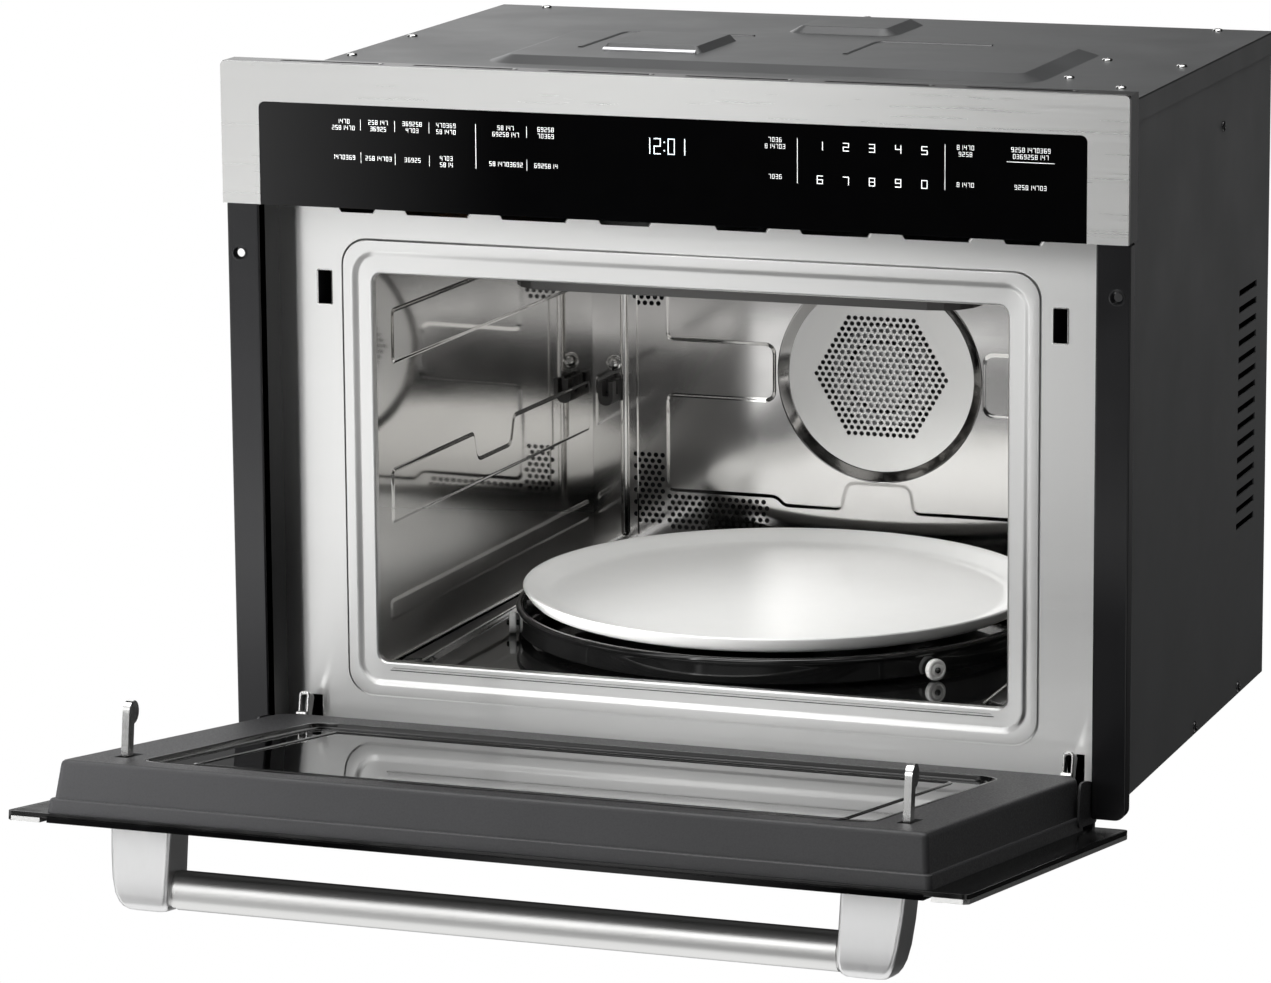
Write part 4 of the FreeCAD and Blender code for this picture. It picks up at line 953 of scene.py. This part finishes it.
# Turntable: profiles are radius and height, on the rollers radius and distance from the turntable's axis
RIM_Z = SUPPORT_TOP + 11.7
DISH_Z = SUPPORT_TOP + 3.7
DISH_UNDER = ((0.5, 0.0), (156.0, 0.0), (161.5, 0.5), (165.5, 2.2), (168.2, 4.8), (170.2, 7.6))
DISH_RIM = ((171.8, -1.8), (172.0, -0.9), (171.5, -0.2), (170.2, 0.0), (168.2, -0.5), (164.6, -2.2))
DISH_INSIDE = ((157.6, 1.9), (153.0, 0.4), (147.0, 0.0), (0.5, 0.0))
BAND_INNER, BAND_LOW, BAND_HIGH = 168.0, 61.5, 72.4
BAND_BEAD = (174.2, 76.2, 2.6)
HUB = ((12.6, 61.2), (22.0, 61.2), (22.0, 78.0), (20.5, 79.0), (12.6, 79.0))
ROLLERS = "abc"
FIRST_ROLLER = math.radians(-38.0)
SPOKE_Z, SPOKE_HALF, SPOKE_RISE, SPOKE_REACH = 75.4, 8.0, 3.4, (20.0, 169.5)
SPOKE_SECTION = ((-1, -0.7), (-0.8, -1), (0.8, -1), (1, -0.7), (1, 0.7), (0.8, 1), (-0.8, 1), (-1, 0.7))
AXLE_Z = 65.3
AXLE = ((1.95, 170.0), (1.95, 182.4), (1.2, 183.2))
WHEEL = ((2.1, 176.7), (6.0, 176.7), (6.8, 177.2), (7.0, 178.0), (7.0, 180.2), (6.8, 181.0), (6.0, 181.5),
         (5.4, 181.5), (5.0, 180.9), (3.8, 180.9), (3.4, 181.5), (2.1, 181.5))


def make_plate():
    parts = ((SUPPORT_TOP, DISH_UNDER), (RIM_Z, DISH_RIM), (DISH_Z, DISH_INSIDE))
    dish = [(r, base + z) for base, part in parts for r, z in part]
    piece("ceramic_plate", Solid().turned(dish, (0.0, TABLE_Y, 0.0), (0, 0, 1), 128), M["ceramic"], "plate",
          ["turntable_plate"])


def make_roller_ring():
    """Rolled band, hub and three spokes, each with an axle that carries a roller."""
    axis = (0, 0, 1)
    centre = (0.0, TABLE_Y, 0.0)
    ring = Solid()
    bead_r, bead_z, bead = BAND_BEAD
    band = [(BAND_INNER, BAND_LOW), (174.6, BAND_LOW), (175.4, 62.4), (175.4, BAND_HIGH)]
    band += [(bead_r + bead * math.cos(math.radians(a)), bead_z + bead * math.sin(math.radians(a)))
             for a in range(-60, 241, 20)]
    band += [(BAND_INNER, BAND_HIGH)]
    ring.turned(band, centre, axis, 128, wrap=True)
    ring.turned(HUB, centre, axis, 48, wrap=True)
    for k, letter in enumerate(ROLLERS):
        a = FIRST_ROLLER + 2 * math.pi * k / len(ROLLERS)
        along = Vector((math.cos(a), math.sin(a), 0))
        across = Vector((-math.sin(a), math.cos(a), 0))
        loops = []
        for reach in SPOKE_REACH:
            middle = Vector((0, TABLE_Y, SPOKE_Z)) + along * reach
            loops.append([middle + across * (SPOKE_HALF * cx) + Vector((0, 0, SPOKE_RISE * cz))
                          for cx, cz in SPOKE_SECTION])
        ring.loft(loops, start=True, end=True)
        axle = Vector((0, TABLE_Y, AXLE_Z))
        ring.turned(AXLE, axle, along, 20)
        piece("roller_wheel_%d" % (k + 1), Solid().turned(WHEEL, axle, along, 40, wrap=True), M["white"],
              "roller_" + letter, ["roller_%d" % (k + 1)])
    piece("roller_ring", ring, M["enamel"], "turntable", ["turntable_support"])


# Door liner: gaps at sides, free edge and foot, corner radii, seal groove, hook slots, hinge cheeks
LINER_SIDE, LINER_FREE, LINER_FOOT = 1.5, 4.8, 9.0
LINER_RADII = (15.0, 15.0, 4.0, 4.0)
GROOVE = (GLASS[0] + 7.8, GLASS[1] - 7.8, GLASS[2] + 7.8, 17.0)
SEAL_INNER = (GLASS[0] + 0.4, GLASS[1] - 0.4, GLASS[2] + 0.4, 10.0)
HOOK_SLOT = (4.2, HOOK_Z - 16.0, HOOK_Z + 10.0)
CHEEK_X = (CASING_HALF - 2.1, CASING_HALF - 0.7)
CHEEK = ((8.0, 45.0), (8.0, 4.0), (12.0, 1.4), (19.6, 1.6), (26.0, 5.0), (30.6, 9.8), (34.4, 18.0),
         (36.2, 29.0), (36.2, 45.0))
# Share of the way from the groove to the glass, and height on the liner's face
SEAL = ((0.0, -4.5), (0.0, -0.4), (0.04, 0.1), (0.12, 0.3), (0.2, 0.1), (0.26, -0.6), (0.36, -2.2),
        (0.5, -2.7), (0.66, -2.5), (0.76, -1.9), (0.86, -1.7), (0.95, -2.0), (1.0, -2.6), (1.0, -4.5))


def door_loop(inset_by, y):
    half = CASING_HALF - LINER_SIDE - inset_by
    top = DOOR_Z[1] - LINER_FREE - inset_by
    return [(x, y, z) for x, z in rounded(-half, half, DOOR_Z[0] + LINER_FOOT, top, LINER_RADII)]


def make_door_liner():
    liner = Solid()
    steps = [(0.0, DOOR_BACK), (0.9, LINER_STEP_Y - 0.8), (1.6, LINER_STEP_Y - 0.1), (3.0, LINER_STEP_Y),
             (3.2, LINER_STEP_Y + 0.6), (5.2, LINER_FACE_Y - 3.0), (5.7, LINER_FACE_Y - 1.3),
             (6.8, LINER_FACE_Y - 0.3), (8.2, LINER_FACE_Y)]
    loops = [door_loop(i, y) for i, y in steps]
    liner.loft(loops, start=True)
    face = [(x, z) for x, y, z in loops[-1]]
    half, low, high = HOOK_SLOT
    holes = [frame_loop(GROOVE)]
    for x in (-LATCH_X, LATCH_X):
        holes.append(rounded(x - half, x + half, low, high, 0.5, 2))
    liner.sheet(face, holes, LINER_FACE_Y, LINER_FACE_Y - 2.5, upright)
    cheek = softened(CHEEK, 5.0)
    for side in (-1, 1):
        liner.loft([[(side * x, y, z) for y, z in cheek] for x in CHEEK_X], start=True, end=True)
    piece("liner_shell", liner, M["liner"], "door", ["door_liner"], door=True)
    seal = Solid()
    seal.bordered(lambda share: frame_loop(grown(GROOVE, SEAL_INNER, share)), SEAL, LINER_FACE_Y, wrap=True)
    piece("glass_seal", seal, M["gloss"], "door", ["door_gasket"], door=True)


def make_door_glass():
    pane = Solid()
    face = LINER_FACE_Y - PANE_SUNK
    edge = ((0.0, -3.0), (0.0, -0.5), (-0.5, 0.0))
    pane.bordered(lambda by: frame_loop(GLASS, by), edge, face, start=True, end=True)
    piece("inner_pane", pane, M["pane"], "door", ["door_inner_glass"], door=True)
    border = Solid()
    ridge = ((0.0, -0.2), (0.0, 0.3), (-0.8, 0.9), (-2.0, 0.9), (-2.8, 0.3), (-2.8, -0.2))
    border.bordered(lambda by: frame_loop(WINDOW, by), ridge, face, wrap=True)
    piece("window_border", border, M["gloss"], "door", door=True)


DOOR_CORNER = 3.8
RAIL_INNER, RAIL_FOOT, RAIL_CUT = 275.8, 25.0, 3.0


def make_door_panel():
    """Back sheet of the door, and the steel rails that frame its outer glass on three sides."""
    x = FRONT_HALF
    panel = Solid()
    low, high = DOOR_Z
    steps = [(0.3, 2.6), (0.0, 2.9), (0.0, 5.4), (0.2, 5.55), (1.8, 5.55), (2.6, 5.5), (3.2, 5.45)]
    panel.bordered(lambda by: rounded(by - x, x - by, low + by, high - by, DOOR_CORNER), steps, 0.0,
                   start=True, end=True)
    piece("door_back_sheet", panel, M["gloss"], "door", ["door_back_panel"], door=True)
    rails = Solid()
    inner, foot, cut = RAIL_INNER, low + RAIL_FOOT, RAIL_CUT
    right = [(x - cut, low), (x, low + cut), (x, high - cut), (x - cut, high), (inner, high), (inner, foot)]
    outline = right + [(-u, v) for u, v in reversed(right)]
    rails.sheet(inset(outline, 0.3), [], -0.3, 0.2, upright)
    rails.sheet(outline, [], 0.0, 2.6, upright)
    piece("door_rails", rails, M["trim"], "door", ["door_trim"], door=True)


BAR_Y, BAR_Z, BAR_R = -41.0, 306.5, 12.0
NECK_R, NECK_LENGTH, BAR_SUNK = 11.3, 2.2, 1.0
POST_INNER = 209.2
# Depth in front of the door, inner and outer x, back and front z, corner radius
POST_LEVELS = (
    (-0.2, POST_INNER, 249.2, 292.5, 320.5, 2.6), (20.0, POST_INNER, 247.8, 292.5, 321.6, 2.6),
    (35.0, POST_INNER, 246.0, 292.5, 322.6, 2.6), (44.0, POST_INNER, 243.9, 292.8, 322.6, 2.8),
    (49.0, 209.8, 241.8, 293.4, 321.6, 3.2), (52.0, 211.0, 239.8, 294.6, 319.8, 3.6),
    (53.8, 213.0, 237.4, 296.6, 317.0, 3.6), (54.5, 215.6, 234.8, 299.4, 313.6, 3.4))


def make_handle():
    bar = Solid()
    end = POST_INNER + BAR_SUNK
    profile = [(NECK_R, -end), (NECK_R, NECK_LENGTH - end), (BAR_R, NECK_LENGTH + 0.4 - end)]
    profile += [(r, -x) for r, x in reversed(profile)]
    bar.turned(profile, (0.0, BAR_Y, BAR_Z), (1, 0, 0), 64)
    piece("grip_bar", bar, M["bar"], "door", ["handle_bar"], door=True)
    posts = Solid()
    for side in (-1, 1):
        posts.loft([[(side * x, -depth, z) for x, z in rounded(near, far, back, front, r)]
                    for depth, near, far, back, front, r in POST_LEVELS], start=True, end=True)
    piece("grip_posts", posts, M["alloy"], "door", ["handle_posts"], door=True)


# Hinge arm: outside and inside of its channel by distance from the flank and from the pivot, and its sweep
ARM_ROOT, ARM_REACH = 8.0, 34.0
CHANNEL_OUTER = ((-0.5, ARM_ROOT), (-0.5, ARM_REACH - 3.0), (0.4, ARM_REACH - 0.9), (2.2, ARM_REACH))
CHANNEL_INNER = ((1.6, ARM_REACH - 1.6), (0.9, ARM_REACH - 3.2), (0.9, ARM_ROOT))
ARM_FROM, ARM_SWEEP, ARM_STEPS = math.radians(9.0), math.radians(15.0), 12
EYE = ((2.6, -0.5), (7.0, -0.5), (7.0, 6.5), (2.6, 6.5))
RIVET, RIVET_REACH = ((2.0, -0.2), (2.0, 6.2)), 20.0


def about_pivot(x, reach, turn):
    return (x, PIVOT[0] + reach * math.sin(turn), PIVOT[1] + reach * math.cos(turn))


def make_hinge_arms():
    arms = Solid()
    x0, x1 = ARM_X
    section = [(x0 + by, r) for by, r in CHANNEL_OUTER]
    section += [(x1 - by, r) for by, r in CHANNEL_OUTER[::-1] + CHANNEL_INNER[::-1]]
    section += [(x0 + by, r) for by, r in CHANNEL_INNER]
    for side in (-1, 1):
        loops = []
        for k in range(ARM_STEPS + 1):
            turn = OPEN_ANGLE + ARM_FROM + ARM_SWEEP * k / ARM_STEPS
            loops.append([about_pivot(side * x, r, turn) for x, r in section])
        arms.loft(loops, start=True, end=True)
        arms.turned(EYE, (side * x0, *PIVOT), (side, 0, 0), 32, wrap=True)
        arms.turned(RIVET, about_pivot(side * x0, RIVET_REACH, OPEN_ANGLE), (side, 0, 0), 16)
    piece("hinge_channels", arms, M["bright"], "door", ["hinge_arms"], door=True)


LOOP_Y, LOOP_LEAN = 17.0, 0.22
LOOP_Z = (25.0, 44.0)
LOOP_RADII = (0.8, 0.8, 2.6, 2.6)
LOOP_EDGE = ((0.0, 1.0), (0.0, 0.4), (0.35, 0.0), (1.1, 0.0), (1.4, 0.4), (1.4, 1.0))
LOOP_RIVET = ((1.0, -1.0), (1.0, 0.6), (0.6, 1.0))


def make_hinge_loops():
    """Pressed end frames of the hinge arms, drawn with the door open."""
    loops = Solid()

    def leaning(u, v, w):
        return (u, LOOP_Y + w + LOOP_LEAN * (v - LOOP_Z[0]), v)

    for side in (-1, 1):
        x0, x1 = sorted((side * (ARM_X[0] - 0.6), side * (ARM_X[1] + 0.4)))
        outline = rounded(x0, x1, *LOOP_Z, LOOP_RADII)
        loops.loft([[leaning(u, v, w) for u, v in inset(outline, by)] for by, w in LOOP_EDGE], wrap=True)
        middle = ((x0 + x1) / 2, LOOP_Y + 2.0, LOOP_Z[0] + 3.5)
        loops.turned(LOOP_RIVET, middle, (0, -1, 0), 14)
    piece("hinge_loops", loops, M["bright"], "door")


# Stage, lit by soft screens: azimuth (front 0, right 90), half width and softness,
# low and high end and softness, strength
BACK = 180.0
SCREENS = (
    (-70.0, 28.0, 8.0, -0.75, -0.05, 0.08, 1.20),
    (-36.0, 8.0, 5.5, -0.60, -0.05, 0.06, 0.85),
    (-25.5, 2.0, 2.5, -0.60, -0.05, 0.06, 1.40),
    (-36.0, 8.0, 5.5, 0.00, 0.35, 0.06, 1.40),
    (-34.0, 9.0, 6.5, 0.40, 0.80, 0.06, 1.60),
    (-19.6, 0.8, 2.0, 0.03, 0.60, 0.04, 10.50),
    (-2.0, 17.0, 8.0, 0.32, 0.58, 0.06, 3.00),
    (45.0, 22.0, 8.0, 0.10, 0.80, 0.08, 0.10),
    (50.0, 18.0, 6.0, -0.55, 0.05, 0.06, 0.80),
    (-140.0, 20.0, 8.0, 0.06, 0.50, 0.06, 1.60),
    (BACK, 60.0, 15.0, -0.20, 0.00, 0.06, 0.20),
    (0.0, 200.0, 5.0, 0.86, 1.20, 0.06, 4.60),
    (0.0, 200.0, 5.0, -1.20, -0.70, 0.10, 1.10),
)
DIM = 0.01
STAGE_Z = CAD_LOW.z - 0.002
STAGE_REACH = 14.0
LAMP_Z = STAGE_Z + 0.001
# Name, place, aim, size and power of each lamp, and whether polished faces mirror it
LAMPS = (
    ("lit table left", (-0.75, -0.98, LAMP_Z), (-0.75, -0.98, 1.0), (0.9, 0.62), 1.9, True),
    ("lit table right", (0.15, -0.98, LAMP_Z), (0.15, -0.98, 1.0), (0.9, 0.62), 1.5, True),
    ("lit table front", (0.0, -1.6, LAMP_Z), (0.0, -1.6, 1.0), (1.0, 0.8), 0.4, True),
    ("left fill", (-0.8, -0.85, 0.22), (-0.1, -0.3, 0.12), (0.5, 0.5), 22.0, False),
    ("cavity fill", (0.0, -0.06, 0.292), (0.0, -0.06, 0.0), (0.30, 0.20), 0.44, False),
)
CAMERA_PLACE = (1.16295, -3.51297, 0.90693)
YAW, PITCH, ROLL = 0.3470, -0.2019, -0.0074
SENSOR, LENS = 36.0, 160.3


def studio_world():
    """Soft studio surroundings: the screens, and dim elsewhere."""
    world = bpy.data.worlds.new("studio")
    bpy.context.scene.world = world
    world.use_nodes = True
    tree = world.node_tree
    background = tree.nodes["Background"]
    background.inputs["Color"].default_value = (1.0, 1.0, 1.0, 1.0)
    place = tree.nodes.new("ShaderNodeTexCoord")
    split = tree.nodes.new("ShaderNodeSeparateXYZ")
    tree.links.new(place.outputs["Generated"], split.inputs[0])

    def maths(operation, one, two):
        node = tree.nodes.new("ShaderNodeMath")
        node.operation = operation
        for socket, value in zip(node.inputs, (one, two)):
            if isinstance(value, (int, float)):
                socket.default_value = value
            else:
                tree.links.new(value, socket)
        return node.outputs[0]

    def ramp(value, start, stop):
        node = set_sockets(tree.nodes.new("ShaderNodeMapRange"), From_Min=start, From_Max=stop)
        node.interpolation_type = "SMOOTHSTEP"
        tree.links.new(value, node.inputs["Value"])
        return node.outputs["Result"]

    def band(value, low, high, soft):
        rising = ramp(value, low - soft, low + soft)
        falling = ramp(value, high + soft, high - soft)
        return maths("MULTIPLY", rising, falling)

    around = maths("ARCTAN2", split.outputs["X"], maths("MULTIPLY", split.outputs["Y"], -1.0))
    around = maths("MULTIPLY", around, 180.0 / math.pi)
    up = split.outputs["Z"]
    total = DIM
    for middle, half, soft, low, high, rise, strength in SCREENS:
        turned = maths("ABSOLUTE", around, 0.0) if middle == BACK else around
        shape = maths("MULTIPLY", band(turned, middle - half, middle + half, soft), band(up, low, high, rise))
        total = maths("ADD", maths("MULTIPLY", shape, strength), total)
    tree.links.new(total, background.inputs["Strength"])


def white_surface(name, points, faces):
    """A pure white surface that only the camera sees."""
    mesh = bpy.data.meshes.new(name)
    mesh.from_pydata(points, [], faces)
    obj = bpy.data.objects.new(name, mesh)
    bpy.context.scene.collection.objects.link(obj)
    glow = bpy.data.materials.new(name + " white")
    glow.use_nodes = True
    set_sockets(glow.node_tree.nodes["Principled BSDF"], Base_Color=(0.0, 0.0, 0.0, 1.0),
                Specular_IOR_Level=0.0, Emission_Color=(1.0, 1.0, 1.0, 1.0), Emission_Strength=1.0)
    mesh.materials.append(glow)
    for ray in ("diffuse", "glossy", "transmission", "shadow"):
        setattr(obj, "visible_" + ray, False)


def soft_light(name, place, aim, size, power, mirrored):
    data = bpy.data.lights.new(name, "AREA")
    data.shape = "RECTANGLE"
    data.size, data.size_y = size
    data.energy = power
    light = bpy.data.objects.new(name, data)
    light.location = place
    light.rotation_euler = (Vector(aim) - Vector(place)).to_track_quat("-Z", "Y").to_euler()
    light.visible_camera = False
    light.visible_glossy = mirrored
    bpy.context.scene.collection.objects.link(light)


def make_stage():
    corners = [(STAGE_REACH * x, STAGE_REACH * y) for x, y in ((-1, -1), (1, -1), (1, 1), (-1, 1))]
    walls = [(x, y, z) for z in (STAGE_Z, STAGE_REACH) for x, y in corners]
    white_surface("floor", walls[:4], [(0, 1, 2, 3)])
    sides = [(k, (k + 1) % 4, 4 + (k + 1) % 4, 4 + k) for k in range(4)] + [(7, 6, 5, 4)]
    white_surface("backdrop", walls, sides)
    for lamp in LAMPS:
        soft_light(*lamp)
    studio_world()
    bpy.context.scene.view_settings.view_transform = "Standard"


def make_camera():
    data = bpy.data.cameras.new("camera")
    data.sensor_width = SENSOR
    data.lens = LENS
    data.clip_end = 60.0
    camera = bpy.data.objects.new("camera", data)
    turns = ((YAW, "Z"), (math.pi / 2 + PITCH, "X"), (ROLL, "Z"))
    yawed, pitched, rolled = (Matrix.Rotation(angle, 4, axis) for angle, axis in turns)
    camera.matrix_world = Matrix.Translation(CAMERA_PLACE) @ yawed @ pitched @ rolled
    bpy.context.scene.collection.objects.link(camera)
    bpy.context.scene.camera = camera


dress_nodes()
make_top_cover()
make_screws()
make_front_plate()
make_flange("left_mounting_flange", -1)
make_flange("right_mounting_flange", 1)
make_panel_print()
make_vent_pins()
make_side_wall("left_cavity_wall", -1)
make_side_wall("right_cavity_wall", 1)
make_back_wall()
make_fan_cover()
make_cavity_floor()
make_rack_bolts()
make_plate()
make_roller_ring()
make_door_panel()
make_door_liner()
make_door_glass()
make_handle()
make_hinge_arms()
make_hinge_loops()
make_stage()
make_camera()
